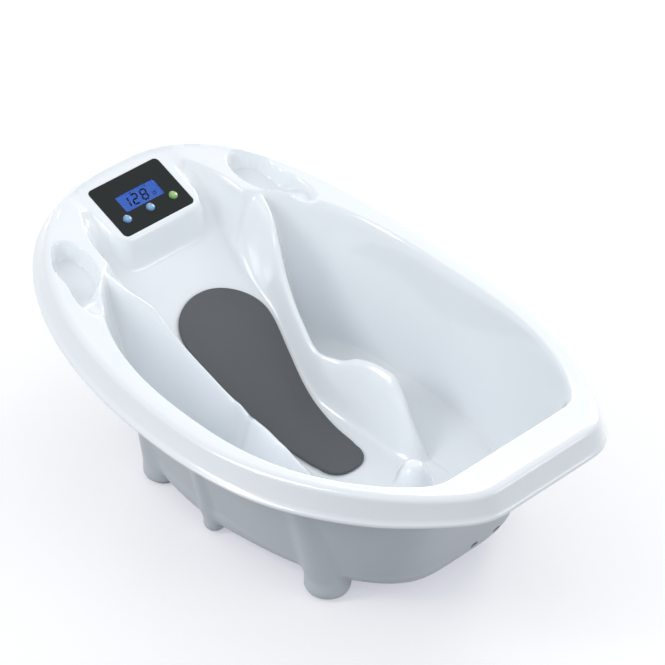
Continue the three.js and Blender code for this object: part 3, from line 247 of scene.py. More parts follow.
def under_z(x, y):
    """Surface one wall thickness below, by a ball rolled under the upper surface."""
    low = surface_z(x, y) - SHELL
    for share, turns in ((0.6, 8), (0.98, 12)):
        r = SHELL * share
        down = math.sqrt(SHELL * SHELL - r * r)
        for i in range(turns):
            a = i * 2 * math.pi / turns
            low = np.minimum(low, surface_z(x + r * math.cos(a), y + r * math.sin(a)) - down)
    return low


POD = Matrix.Translation((POD_AT_X, 0, pod_plane(POD_AT_X))) @ Matrix.Rotation(POD_TILT, 4, "Y")


def on_pod(points):
    """Points of the pod frame (x down the slope, y across, z out of the panel) in the basin frame."""
    m = np.array(POD)
    p = np.asarray(points, float)
    return p @ m[:3, :3].T + m[:3, 3]


def loose(name, points, faces):
    """A mesh object from points in millimetres."""
    p = np.asarray(points, float).copy()
    p[:, 0] += CENTRE
    mesh = bpy.data.meshes.new(name)
    mesh.from_pydata((p * MM).tolist(), [], faces)
    return placed(name, mesh)


def placed(name, data):
    """An object of some data in the scene."""
    obj = bpy.data.objects.new(name, data)
    bpy.context.scene.collection.objects.link(obj)
    return obj


def make_piece(name, points, faces, look, body):
    """A smooth closed piece from points in millimetres, riding on a body, faces outward."""
    obj = loose(name, points, faces)
    obj.data.validate()
    obj.data.update()
    obj.data.materials.append(look)
    smooth(obj.data)
    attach(obj, body)
    facing_out(obj)
    return obj


def smooth(mesh):
    mesh.polygons.foreach_set("use_smooth", [True] * len(mesh.polygons))


def finish(obj, sharp, slot, *nodes):
    """Keeps edges over an angle crisp, and hides the CAD nodes that the piece stands for. The slot is not
    used.
    """
    if sharp:
        obj.data.set_sharp_from_angle(angle=math.radians(sharp))
    if nodes:
        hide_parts(*nodes)


def band(a, b):
    """Quads between two rings of point numbers, closed round."""
    n = len(a)
    return [(a[i], a[(i + 1) % n], b[(i + 1) % n], b[i]) for i in range(n)]


def facing_out(obj, weld=0.0):
    """Turns a closed mesh's faces outward, after its doubled points are merged where asked."""
    bm = bmesh.new()
    bm.from_mesh(obj.data)
    if weld:
        bmesh.ops.remove_doubles(bm, verts=bm.verts, dist=weld)
        bmesh.ops.dissolve_degenerate(bm, edges=bm.edges, dist=weld)
    bmesh.ops.recalc_face_normals(bm, faces=bm.faces)
    bm.to_mesh(obj.data)
    bm.free()


def rounded_rectangle(x, y, r, steps, dense=0):
    """Closed outline with round corners, counterclockwise, with extra points on the straight sides."""
    pts = []
    corners = ((1, 1), (-1, 1), (-1, -1), (1, -1))
    for quarter, (sx, sy) in enumerate(corners):
        for i in range(steps + 1):
            a = math.radians(90 * quarter + 90 * i / steps)
            pts.append((sx * (x / 2 - r) + r * math.cos(a), sy * (y / 2 - r) + r * math.sin(a)))
    if not dense:
        return np.array(pts)
    out = []
    for i, p in enumerate(pts):
        q = pts[(i + 1) % len(pts)]
        n = max(1, round(math.dist(p, q) / dense))
        out += [(lerp(p[0], q[0], k / n), lerp(p[1], q[1], k / n)) for k in range(n)]
    return np.array(out)


def circle(cx, cy, r, n):
    a = np.arange(n) * 2 * math.pi / n
    return np.column_stack([cx + r * np.cos(a), cy + r * np.sin(a)])


def turned(profile, count, at=(0, 0)):
    """Points and faces of a closed turned body from (radius, height) rows, first and last on the axis."""
    a = np.arange(count) * 2 * math.pi / count
    points, faces, last = [], [], None
    for r, z in profile:
        if r == 0:
            ring = [len(points)]
            points.append((at[0], at[1], z))
        else:
            ring = list(range(len(points), len(points) + count))
            points += [(at[0] + r * math.cos(t), at[1] + r * math.sin(t), z) for t in a]
        if last is not None and len(last) == 1:
            faces += [(last[0], ring[(i + 1) % count], ring[i]) for i in range(count)]
        elif last is not None and len(ring) == 1:
            faces += [(last[i], last[(i + 1) % count], ring[0]) for i in range(count)]
        elif last is not None:
            faces += [(last[i], last[(i + 1) % count], ring[(i + 1) % count], ring[i]) for i in range(count)]
        last = ring
    return np.array(points), faces


def round_over(r_in, z_in, r_out, z_out, steps):
    """Quarter ellipse from a top edge (r_in, z_in) out and down to (r_out, z_out)."""
    a = np.linspace(0, math.pi / 2, steps + 1)
    return [(r_in + (r_out - r_in) * math.sin(t), z_out + (z_in - z_out) * math.cos(t)) for t in a]


def plate_with_holes(outer, holes, low, top, edge, hole_edge):
    """Flat plate whose upper edges are rounded. outer and holes give an outline for an inset."""
    points, faces, top_loops, low_loops = [], [], [], []
    for outline, round_by, inward in [(outer, edge, 1)] + [(hole, hole_edge, -1) for hole in holes]:
        turns = [(0, low), (0, top - round_by)]
        bends = np.radians([22, 45, 68, 90])
        turns += [(round_by * (1 - math.cos(t)), top - round_by * (1 - math.sin(t))) for t in bends]
        turns.append((round_by + 0.08, top))
        rings = []
        for inset, z in turns:
            loop = outline(inset * inward)
            rings.append(list(range(len(points), len(points) + len(loop))))
            points += [(x, y, z) for x, y in loop]
        faces += [f for a, b in zip(rings, rings[1:]) for f in band(a, b)]
        top_loops.append(rings[-1])
        low_loops.append(rings[0])
    for loops in (top_loops, low_loops):
        numbers = [k for loop in loops for k in loop]
        flat = [Vector(points[k][:2]) for k in numbers]
        start, edges = 0, []
        for loop in loops:
            edges += [(start + i, start + (i + 1) % len(loop)) for i in range(len(loop))]
            start += len(loop)
        _, _, tris, origin, _, _ = geometry.delaunay_2d_cdt(flat, edges, [], 1, 1e-6)
        whole = [tuple(numbers[origin[k][0]] for k in tri) for tri in tris]
        for tri in whole:
            mid = np.mean([points[k][:2] for k in tri], axis=0)
            if not any(inside_loop(mid, [points[k] for k in loop]) for loop in loops[1:]):
                faces.append(tri)
    return np.array(points), faces


def inside_loop(point, loop):
    """True where a point lies inside a closed outline."""
    x, y = point
    hit = False
    for p, q in zip(loop, loop[1:] + loop[:1]):
        if (p[1] > y) != (q[1] > y) and x < p[0] + (q[0] - p[0]) * (y - p[1]) / (q[1] - p[1]):
            hit = not hit
    return hit


def join_bodies(bodies):
    """One list of points and faces from several."""
    points, faces, start = [], [], 0
    for p, f in bodies:
        points.append(np.asarray(p, float))
        faces += [tuple(k + start for k in face) for face in f]
        start += len(p)
    return np.vstack(points), faces


def carve(obj, cutters):
    """Cuts closed bodies out of a piece for good."""
    tool = loose("cutter", *join_bodies(cutters))
    facing_out(tool)
    cut = obj.modifiers.new("cut", "BOOLEAN")
    cut.operation = "DIFFERENCE"
    cut.solver = "EXACT"
    cut.object = tool
    done = bpy.data.meshes.new_from_object(obj.evaluated_get(bpy.context.evaluated_depsgraph_get()))
    obj.modifiers.remove(cut)
    done.name = obj.name
    obj.data = done
    bpy.data.objects.remove(tool)

# Nodes of materials and of geometry trees
def node(tree, kind, links=(), **settings):
    """Adds a node. Settings that name a socket fill it, and links are (from socket or value, to socket)."""
    made = tree.nodes.new(kind)
    for key, value in settings.items():
        label = key.replace("_", " ").title()
        if label in made.inputs:
            made.inputs[label].default_value = value
        else:
            setattr(made, key, value)
    for source, label in links:
        if isinstance(source, bpy.types.NodeSocket):
            tree.links.new(source, made.inputs[label])
        else:
            made.inputs[label].default_value = source
    return made


def reckon(tree, operation, *terms):
    """The result of a Math node on sockets and numbers."""
    return node(tree, "ShaderNodeMath", zip(terms, range(3)), operation=operation).outputs["Value"]


def mixed(tree, share, a, b):
    """A colour between two, by a share."""
    mix = node(tree, "ShaderNodeMix", [(share, "Factor")], data_type="RGBA", a=(*a, 1), b=(*b, 1))
    return mix.outputs["Result"]


def node_material(name, colour, roughness, tint=None, sockets=(), grain=900, bump=0.1, depth=0.0002,
                  swing=0.04, stretch=None):
    """A principled material whose roughness and bump come from fine noise, with soft blotches of a tint."""
    mat = bpy.data.materials.new(name)
    mat.use_nodes = True
    tree = mat.node_tree
    shader = tree.nodes["Principled BSDF"]
    for key, value in {"Base Color": (*colour, 1), **dict(sockets)}.items():
        shader.inputs[key].default_value = value
    place = where = node(tree, "ShaderNodeTexCoord").outputs["Object"]
    if stretch:
        where = node(tree, "ShaderNodeMapping", [(place, "Vector")], scale=stretch).outputs["Vector"]
    noise = node(tree, "ShaderNodeTexNoise", [(where, "Vector")], scale=grain, detail=3).outputs["Fac"]
    low, high = roughness - swing, roughness + swing
    spread = node(tree, "ShaderNodeMapRange", [(noise, "Value")], to_min=low, to_max=high)
    relief = node(tree, "ShaderNodeBump", [(noise, "Height")], strength=bump, distance=depth)
    tree.links.new(spread.outputs["Result"], shader.inputs["Roughness"])
    tree.links.new(relief.outputs["Normal"], shader.inputs["Normal"])
    if tint:
        blotch = node(tree, "ShaderNodeTexNoise", [(place, "Vector")], scale=12)
        tree.links.new(mixed(tree, blotch.outputs["Fac"], colour, tint), shader.inputs["Base Color"])
    return mat


def painted(mat, colour_from):
    """Gives a material the colour that a function of its tree and its Object coordinates works out."""
    tree = mat.node_tree
    place = next(n for n in tree.nodes if n.type == "TEX_COORD").outputs["Object"]
    tree.links.new(colour_from(tree, place), tree.nodes["Principled BSDF"].inputs["Base Color"])
    return mat


GLOSS_WHITE = node_material(
    "gloss_white_shell", (0.86, 0.89, 0.92), 0.3, (0.84, 0.875, 0.905), grain=260, bump=0.02, swing=0.03,
    sockets={"Coat Weight": 1.0, "Coat Roughness": 0.07})
MAT_FOAM = node_material(
    "charcoal_foam", (0.105, 0.111, 0.118), 0.85, (0.097, 0.103, 0.110), grain=1800, bump=0.5, depth=0.0004,
    sockets={"Sheen Weight": 0.1, "Sheen Roughness": 0.6})
PANEL_BLACK = node_material(
    "gloss_black_panel", (0.013, 0.016, 0.017), 0.16, (0.011, 0.014, 0.015), grain=700, bump=0.02, swing=0.03,
    sockets={"Specular IOR Level": 0.22})
CLEAR_WINDOW = node_material(
    "clear_window", (0.98, 0.99, 1.0), 0.04, grain=300, bump=0.005, swing=0.015,
    sockets={"Transmission Weight": 1.0, "IOR": 1.12})
DISPLAY_BLUE = node_material(
    "backlit_blue_display", (0.01, 0.025, 0.1), 0.5, (0.012, 0.03, 0.12), grain=2600, bump=0.02,
    sockets={"Emission Color": (0.03, 0.095, 0.40, 1), "Emission Strength": 1.0, "Specular IOR Level": 0.15})
DIGIT_DARK = node_material(
    "dark_digit", (0.004, 0.006, 0.02), 0.6, (0.006, 0.008, 0.026), grain=2600, bump=0.02,
    sockets={"Specular IOR Level": 0.05})
STEEL = node_material(
    "plated_steel", (0.58, 0.59, 0.61), 0.32, (0.54, 0.55, 0.57), grain=420, bump=0.12, swing=0.1,
    stretch=(1, 14, 1), sockets={"Metallic": 1.0})
PROBE_STEEL = node_material(
    "probe_steel", (0.22, 0.23, 0.25), 0.25, (0.20, 0.21, 0.23), bump=0.05, sockets={"Metallic": 1.0})
# Name, colour, roughness, tint, grain and bump of the plain finishes
GREY_BASE, RUBBER, SEAL_RUBBER, WHITE_RUBBER, PLUG_WHITE, TRAY_GREY, CAP_GREY, DIFFUSER, SILICONE, CABLE = (
    node_material(name, colour, roughness, tint, grain=grain, bump=bump)
    for name, colour, roughness, tint, grain, bump in (
        ("satin_grey_base", (0.66, 0.70, 0.73), 0.42, (0.645, 0.685, 0.715), 1400, 0.15),
        ("black_rubber", (0.018, 0.018, 0.019), 0.8, (0.024, 0.024, 0.025), 1500, 0.4),
        ("grey_seal_rubber", (0.36, 0.38, 0.40), 0.7, (0.33, 0.35, 0.37), 1500, 0.3),
        ("white_grommet_rubber", (0.80, 0.83, 0.85), 0.55, (0.77, 0.80, 0.83), 1500, 0.2),
        ("plug_plastic", (0.74, 0.78, 0.81), 0.35, (0.71, 0.75, 0.79), 900, 0.08),
        ("tray_plastic", (0.58, 0.62, 0.65), 0.5, (0.55, 0.59, 0.62), 1600, 0.25),
        ("cap_plastic", (0.27, 0.30, 0.32), 0.5, (0.25, 0.28, 0.30), 1600, 0.25),
        ("diffuser_plastic", (0.84, 0.87, 0.90), 0.4, (0.81, 0.84, 0.88), 1200, 0.05),
        ("switch_silicone", (0.62, 0.62, 0.59), 0.65, (0.58, 0.58, 0.56), 1500, 0.2),
        ("cable_sleeve", (0.030, 0.031, 0.034), 0.55, (0.038, 0.039, 0.042), 2200, 0.3),
    ))


def shaded_dome_material(name, centre, light, painted_rim_shade):
    """Glossy button plastic with painted light in the middle of the dome and painted shade at its rim."""
    def colour(tree, place):
        # Painted shading: the colour goes from the lit middle to the shaded rim by distance from the dome's
        # top.
        apart = node(tree, "ShaderNodeVectorMath", [(place, 0), (centre, 1)], operation="DISTANCE")
        spread = node(tree, "ShaderNodeMapRange", [(apart.outputs["Value"], "Value")],
                      interpolation_type="SMOOTHSTEP", from_min=0.0018, from_max=0.0072)
        return mixed(tree, spread.outputs["Result"], light, painted_rim_shade)

    coat = {"Coat Weight": 1.0, "Coat Roughness": 0.03, "Subsurface Weight": 0.0}
    return painted(node_material(name, light, 0.08, grain=1200, bump=0.01, swing=0.02, sockets=coat), colour)


def board_tracks(tree, place):
    """Copper tracks under green lacquer."""
    tracks = node(tree, "ShaderNodeTexBrick", [(place, "Vector")], scale=130, mortar_size=0.03,
                  color1=(0.02, 0.16, 0.07, 1), color2=(0.024, 0.19, 0.085, 1), mortar=(0.05, 0.30, 0.12, 1))
    return tracks.outputs["Color"]


def cell_bands(tree, place):
    """Printed sleeve of a dry cell with bare metal at both ends."""
    axes = node(tree, "ShaderNodeSeparateXYZ", [(place, "Vector")])
    along = reckon(tree, "MULTIPLY", reckon(tree, "ABSOLUTE", axes.outputs["Y"]), 1 / 0.0223)
    bands = node(tree, "ShaderNodeValToRGB", [(along, "Fac")])
    ramp = bands.color_ramp
    ramp.interpolation = "CONSTANT"
    ramp.elements[0].color = (0.06, 0.08, 0.11, 1)
    ramp.elements[1].position = 0.60
    ramp.elements[1].color = (0.28, 0.31, 0.34, 1)
    ramp.elements.new(0.86).color = (0.62, 0.62, 0.62, 1)
    return bands.outputs["Color"]


BOARD_GREEN = painted(node_material("circuit_board", (0.03, 0.2, 0.1), 0.4, grain=1800), board_tracks)
CELL_SLEEVE = painted(
    node_material("cell_sleeve", (0.06, 0.08, 0.11), 0.35, bump=0.05, sockets={"Metallic": 0.4}), cell_bands)


def copies_tree(name, sizes, make, look):
    """A tree that makes one small body from its named sizes and sets a turned, scaled copy at every point."""
    tree = bpy.data.node_groups.new(name, "GeometryNodeTree")
    tree.interface.new_socket("Geometry", in_out="INPUT", socket_type="NodeSocketGeometry")
    for label, value in sizes.items():
        tree.interface.new_socket(label, in_out="INPUT", socket_type="NodeSocketFloat").default_value = value
    tree.interface.new_socket("Geometry", in_out="OUTPUT", socket_type="NodeSocketGeometry")
    given, result = tree.nodes.new("NodeGroupInput"), tree.nodes.new("NodeGroupOutput")
    body = make(tree, given.outputs)
    turn, size = (
        node(tree, "GeometryNodeInputNamedAttribute", data_type="FLOAT_VECTOR", name=key).outputs["Attribute"]
        for key in ("turn", "size"))
    euler = node(tree, "FunctionNodeEulerToRotation", [(turn, "Euler")])
    points = node(tree, "GeometryNodeMeshToPoints", [(given.outputs["Geometry"], "Mesh")])
    copies = node(tree, "GeometryNodeInstanceOnPoints", [
        (points.outputs["Points"], "Points"), (body, "Instance"), (euler.outputs["Rotation"], "Rotation"),
        (size, "Scale")])
    real = node(tree, "GeometryNodeRealizeInstances", [(copies.outputs["Instances"], "Geometry")])
    paint = node(tree, "GeometryNodeSetMaterial", [(real.outputs["Geometry"], "Geometry")])
    paint.inputs["Material"].default_value = look
    tree.links.new(paint.outputs["Geometry"], result.inputs["Geometry"])
    return tree


def grown(name, tree, places, body, shade=40, values=()):
    """Runs a tree on places (point, turn, size) and keeps the result as a plain mesh on a body."""
    start = loose(name + "_places", [p[0] for p in places], [])
    for k, key in ((1, "turn"), (2, "size")):
        layer = start.data.attributes.new(key, "FLOAT_VECTOR", "POINT")
        layer.data.foreach_set("vector", np.array([p[k] for p in places], float).ravel())
    run = start.modifiers.new("grow", "NODES")
    run.node_group = tree
    for item in tree.interface.items_tree:
        if item.item_type == "SOCKET" and item.in_out == "INPUT" and item.name in values:
            run[item.identifier] = values[item.name]
    bpy.context.view_layer.update()
    mesh = bpy.data.meshes.new_from_object(start.evaluated_get(bpy.context.evaluated_depsgraph_get()))
    start.modifiers.remove(run)
    bpy.data.objects.remove(start)
    for key in ("turn", "size"):
        if key in mesh.attributes:
            mesh.attributes.remove(mesh.attributes[key])
    mesh.name = name
    smooth(mesh)
    mesh.set_sharp_from_angle(angle=math.radians(shade))
    obj = placed(name, mesh)
    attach(obj, body)
    return obj


# Columns round the edge: even along it, closer together where it bends
def edge_columns(count):
    th = np.linspace(0, 2 * math.pi, 5761)
    x, y = outline_point(EDGE, th, 0)
    ox, oy = outline_point(EDGE, th, 1)
    turn = np.unwrap(np.arctan2(oy - y, ox - x))
    stretch = np.hypot(np.diff(x), np.diff(y))
    weight = 0.6 * stretch / stretch.sum() + 0.4 * np.abs(np.diff(turn)) / (2 * math.pi)
    total = np.concatenate([[0], np.cumsum(weight)])
    return np.interp((np.arange(count) + 0.5) / count * total[-1], total, th)


COLUMNS = edge_columns(600)


def edge_ring(out, fall):
    """One ring of the flange and skirt, which flares less and hangs lower towards the foot end."""
    ex, _ = outline_point(EDGE, COLUMNS, 0)
    foot = step(120, 330, ex)
    corner = step(40, 180, ex) * (1 - step(280, 370, ex))
    spread = max(out, 0) * (1 - 0.45 * foot)
    x, y = outline_point(EDGE, COLUMNS, spread + min(out, 0))
    return np.column_stack([x, y, rim_z(ex) + fall * (1 + 0.13 * foot + 0.12 * corner)])


def smooth_profile(points, rounds):
    """Corner cutting on an open list of points, ends kept."""
    p = np.array(points, float)
    for _ in range(rounds):
        q = 0.75 * p[:-1] + 0.25 * p[1:]
        r = 0.25 * p[:-1] + 0.75 * p[1:]
        inner = np.empty((2 * len(q), 2))
        inner[0::2], inner[1::2] = q, r
        p = np.vstack([p[:1], inner, p[-1:]])
    return p


def scatter(pitch, fine, heights, sharpness, keep):
    """Points of a fine lattice where the surface bends, and of a coarse one elsewhere."""
    rows = []
    for size, want_bend in ((pitch, False), (fine, True)):
        nx, ny = int(430 / size), int(270 / size)
        i, j = np.meshgrid(np.arange(-nx, nx + 1), np.arange(-ny, ny + 1), indexing="ij")
        x = (i + 0.5 * (j % 2)) * size
        y = j * size * 0.866
        x, y = x.ravel(), y.ravel()
        ok = keep(x, y)
        x, y = x[ok], y[ok]
        d = 2.0
        east, west, north, south = heights(x + d, y), heights(x - d, y), heights(x, y + d), heights(x, y - d)
        gx, gy = (east - west) / (2 * d), (north - south) / (2 * d)
        bend = np.abs(east + west + north + south - 4 * heights(x, y)) / (d * d) / (1 + gx * gx + gy * gy)
        chosen = bend > sharpness if want_bend else bend <= sharpness
        rows.append(np.column_stack([x[chosen], y[chosen]]))
    return np.vstack(rows)


def triangulate(points, loops, holes):
    """Delaunay triangles inside the first loop and outside the holes. Loops are lists of point numbers."""
    edges = [(loop[i], loop[(i + 1) % len(loop)]) for loop in loops for i in range(len(loop))]
    flat = [Vector((float(x), float(y))) for x, y in points]
    verts, _, faces, origin, _, _ = geometry.delaunay_2d_cdt(flat, edges, [], 0, 1e-6)
    xy = np.array([(v.x, v.y) for v in verts])
    tris = np.array([f for f in faces if len(f) == 3])
    mid = xy[tris].mean(axis=1)
    keep = np.ones(len(tris), bool)
    for hole in holes:
        keep &= ~hole(mid[:, 0], mid[:, 1])
    number = {}
    for k, from_points in enumerate(origin):
        for p in from_points:
            number[p] = k
    return xy, tris[keep], [[number[p] for p in loop] for loop in loops]


def in_pod_rectangle(x, y, half_x, half_y, r, down):
    """True inside a rounded rectangle of the pod frame, seen from above at depth down below the plane."""
    lx = (x - POD_AT_X + down * math.sin(POD_TILT)) / math.cos(POD_TILT)
    qx = np.maximum(np.abs(lx) - half_x + r, 0)
    qy = np.maximum(np.abs(y) - half_y + r, 0)
    return np.hypot(qx, qy) < r


# Openings of the moulding, in the pod frame and round the drain
REBATE = (PANEL[0] + 2 * GAP, PANEL[1] + 2 * GAP, 7 + GAP)
REBATE_LOW = -2.7
LIP = (80, 114, 4)
POCKET = (76, 110, 3)
POCKET_LOW = -9.0
SLAB_HALF = (44, 66, 2)
SEAT_LOW = DRAIN_Z - 2.0
TUBE_LOW = 14.0
TUBE_WALL = 2.5
SKIRT = [
    (-8, 0), (-3, -1.2), (0.5, -4.2), (2.5, -8.5), (13.5, -27.5), (15.9, -28.3), (17.3, -30.5), (16.4, -32.9),
    (11.4, -29.9), (0.2, -9.8), (-3, -5.2), (-8, -SHELL),
]


def at_height(outline, z):
    return np.column_stack([outline, np.full(len(outline), z)])


def net(rings, lattice, holes):
    """Triangles of a moulded surface between an outer ring and the rings of its openings."""
    loops, count = [], 0
    for ring in rings:
        loops.append(list(range(count, count + len(ring))))
        count += len(ring)
    return triangulate(np.vstack([ring[:, :2] for ring in rings] + [lattice]), loops, holes)


def clear_of(edge_gap, pod, down, drain):
    """Test for lattice points: inside the edge, and off the openings of the pod and the drain."""
    def keep(x, y):
        inside = np.hypot(x, y) < quick_radius("edge", np.arctan2(y, x)) - edge_gap
        return inside & ~in_pod_rectangle(x, y, *pod, down) & (np.hypot(x - DRAIN_X, y) > drain)
    return keep


def openings(pod, down, drain):
    """The pod opening and the drain, as tests for triangles to leave out."""
    return [lambda x, y: in_pod_rectangle(x, y, pod[0] / 2, pod[1] / 2, pod[2], down),
            lambda x, y: np.hypot(x - DRAIN_X, y) < drain]


def tub_shell():
    """The moulding: upper surface, edge, skirt and bead, underside, panel rebate and drain."""
    rebate = rounded_rectangle(*REBATE, 6, dense=2.5)
    outer = edge_ring(-8, 0)
    seat = circle(DRAIN_X, 0, DRAIN_SEAT_R, 40)
    lattice = scatter(3.6, 1.9, surface_z, 0.018, clear_of(11, (44.6, 62.1, 8), 0, DRAIN_SEAT_R + 1.5))
    top_xy, top_tris, (top_edge, top_rebate, top_seat) = net(
        (outer, on_pod(at_height(rebate, 0.0)), seat), lattice, openings(REBATE, 0, DRAIN_SEAT_R - 0.05))
    top = np.column_stack([top_xy, surface_z(top_xy[:, 0], top_xy[:, 1])])
    top[top_edge, 2] = outer[:, 2]

    pocket = rounded_rectangle(*POCKET, 3, dense=5)
    under_outer = edge_ring(-8, -SHELL)
    tube = circle(DRAIN_X, 0, DRAIN_BORE + TUBE_WALL, 24)
    coarse = scatter(8, 5, surface_z, 0.02, clear_of(12, (40, 57, 4), -POCKET_LOW, DRAIN_BORE + 5))
    low_xy, low_tris, (low_edge, low_pocket, low_tube) = net(
        (under_outer, on_pod(at_height(pocket, POCKET_LOW)), tube), coarse,
        openings(POCKET, -POCKET_LOW, DRAIN_BORE + TUBE_WALL - 0.05))
    low_z = under_z(low_xy[:, 0], low_xy[:, 1])
    slab = in_pod_rectangle(low_xy[:, 0], low_xy[:, 1], *SLAB_HALF, -POCKET_LOW)
    slab_z = pod_plane(low_xy[:, 0]) + POCKET_LOW / math.cos(POD_TILT)
    low = np.column_stack([low_xy, np.where(slab, np.minimum(low_z, slab_z), low_z)])
    low[low_edge, 2] = under_outer[:, 2]

    parts = [top]
    faces = [tuple(t) for t in top_tris.tolist()]

    def add(ring):
        count = sum(len(p) for p in parts)
        parts.append(ring)
        return list(range(count, count + len(ring)))

    def down(last, *rings):
        """Bands from a ring down through others."""
        for ring in rings:
            numbers = add(ring)
            faces.extend(band(last, numbers))
            last = numbers
        return last

    last = top_edge
    for out, fall in smooth_profile(SKIRT, 1)[1:-1]:
        ring = add(edge_ring(out, fall))
        faces += band(ring, last)
        last = ring
    under = add(low)
    faces += band([under[k] for k in low_edge], last)
    faces += [(under[a], under[c], under[b]) for a, b, c in low_tris.tolist()]

    lip = resample(rounded_rectangle(*LIP, 6, dense=2.5), len(rebate))
    lip_ring = down(top_rebate, on_pod(at_height(rebate, REBATE_LOW)), on_pod(at_height(lip, REBATE_LOW)))
    pocket_top = add(on_pod(at_height(pocket, REBATE_LOW)))
    faces += stitch(lip_ring, pocket_top)
    faces += band(pocket_top, [under[k] for k in low_pocket])

    bore = circle(DRAIN_X, 0, DRAIN_BORE, 40)
    bore_low = down(top_seat, at_height(seat, SEAT_LOW), at_height(bore, SEAT_LOW), at_height(bore, TUBE_LOW))
    tube_low = add(at_height(tube, TUBE_LOW))
    faces += stitch(bore_low, tube_low)
    faces += band(tube_low, [under[k] for k in low_tube])
    finish(make_piece("bath_moulding", np.vstack(parts), faces, GLOSS_WHITE, "bath"), 50, "tub", "tub_shell")


def resample(loop, count):
    """The same closed loop with another number of points."""
    closed = np.vstack([loop, loop[:1]])
    run = np.concatenate([[0], np.cumsum(np.hypot(*np.diff(closed, axis=0).T))])
    want = np.linspace(0, run[-1], count + 1)[:-1]
    return np.column_stack([np.interp(want, run, closed[:, k]) for k in (0, 1)])


def stitch(a, b):
    """Triangles between two closed rings of unlike counts that start at the same place."""
    faces, i, j = [], 0, 0
    while i < len(a) or j < len(b):
        if j >= len(b) or (i < len(a) and (i + 1) / len(a) <= (j + 1) / len(b)):
            faces.append((a[i % len(a)], a[(i + 1) % len(a)], b[j % len(b)]))
            i += 1
        else:
            faces.append((a[i % len(a)], b[(j + 1) % len(b)], b[j % len(b)]))
            j += 1
    return faces


# Base shell
BASE_Z = 15
BASE_WALL = 3
BASE_AIR = 9
UNDER_AIR = 2
BASE_FOOT = dict(head=235, foot=250, half=176, round=2.5, taper=0.036, power=1.4, corner=5)
BASE_TOP = dict(head=288, foot=337, half=230.5, round=3, taper=2.95e-5, power=2.6, corner=20)
BILGE = [(0, 0, -3), (0.16, 0.25, 1), (0.45, 0.62, 2), (1, 1, 0)]
# Legs: axis at two heights, and radius by height, for the big leg, the slim column and the head-end leg
LEGS = (
    dict(x=(172, 168), y=(141, 194), z=(30, 195), r=((3.5, 23), (5.1, 28), (9.5, 30), (30, 30), (195, 16))),
    dict(x=(-6, -6), y=(172, 216), z=(30, 187), r=((3.5, 8), (5.1, 13), (9.5, 15), (30, 15), (187, 8))),
    dict(x=(-129, -143), y=(153, 183), z=(30, 190),
         r=((3.5, 22.6), (5.1, 25.8), (9.5, 27), (30, 27), (190, 14))),
)


def leg_distance(leg, x, ay, z):
    """Distance from a leg's side, negative inside."""
    cx = np.interp(z, leg["z"], leg["x"])
    cy = np.interp(z, leg["z"], leg["y"])
    r = np.interp(z, [p[0] for p in leg["r"]], [p[1] for p in leg["r"]])
    return np.hypot(x - cx, ay - cy) - r


def base_side(th, inset, top_over=0.0, rows=46):
    """Rows of the wall from the lower edge up, each as radius and height round the base."""
    foot_r, floor_r, top_r = radius_at(BASE_FOOT, th), radius_at(FLOOR, th), radius_at(BASE_TOP, th)
    wall_start = floor_r + BASE_AIR
    share_max = np.zeros_like(th)
    going = np.ones(len(th), bool)
    for k in range(1, 101):
        t = k / 100
        clear = np.ones(len(th), bool)
        for depth in (0, BASE_WALL):
            r = lerp(wall_start, top_r, t) - depth
            x, y = r * np.cos(th), r * np.sin(th)
            clear &= lerp(CREASE_Z, rim_z(x), t) + UNDER_AIR < under_z(x, y)
        going &= clear
        share_max = np.where(going, t, share_max)
    window = np.ones(9) / 9
    padded = np.concatenate([share_max[-4:], share_max, share_max[:4]])
    share_max = np.minimum(share_max, np.convolve(padded, window, "valid"))
    low = BASE_Z + inset
    result = []
    for up in np.linspace(0, 1, rows // 3):
        out = curve_at([(b[0], b[1]) for b in BILGE], up, 1)
        bulge = curve_at([(b[0], b[2]) for b in BILGE], up, 1)
        z = np.full(len(th), lerp(low, CREASE_Z, up))
        result.append((lerp(foot_r, wall_start, out) + bulge - inset, z))
    for up in np.linspace(0, 1, rows - rows // 3 + 1)[1:]:
        share = share_max * up
        r = lerp(wall_start, top_r, share) - inset
        result.append((r, lerp(CREASE_Z, rim_z(r * np.cos(th)), share)))
    return result


def with_legs(th, r, z, blend=9.0):
    """Radius at which the wall, joined softly with the legs, is met from outside."""
    low, high = r - 6, r + 75
    for _ in range(26):
        mid = (low + high) / 2
        x, ay = mid * np.cos(th), np.abs(mid * np.sin(th))
        f = mid - r
        for leg in LEGS:
            f = smin(f, leg_distance(leg, x, ay, z), blend)
        outside = f > 0
        high = np.where(outside, mid, high)
        low = np.where(outside, low, mid)
    return (low + high) / 2


def base_bottom_z(x, ay):
    """Underside of the base: flat, with the legs standing down from it."""
    z = np.full_like(x, float(BASE_Z))
    for leg in LEGS:
        d = np.hypot(x - leg["x"][0], ay - leg["y"][0])
        r0 = leg["r"][2][1]
        foot = np.interp(d, [r0 - 7, r0 - 2, r0, r0 + 2.5], [3.5, 5.1, 9.5, BASE_Z])
        z = np.minimum(z, foot)
    return z


BOTTOM_INSETS = (0.4, 1.2, 2.4, 4, 6, 8.5, 11.5, 15, 19, 23.5, 28.5, 34, 40, 46, 52, 58, 64, 72, 84, 100, 120)
VENTS = ((15, 46), (56, 46))


def round_cut(profile, count, at=(0, 0)):
    """A turned cutter from (radius, height) rows between its two ends."""
    return turned([(0, profile[0][1]), *profile, (0, profile[-1][1])], count, at)


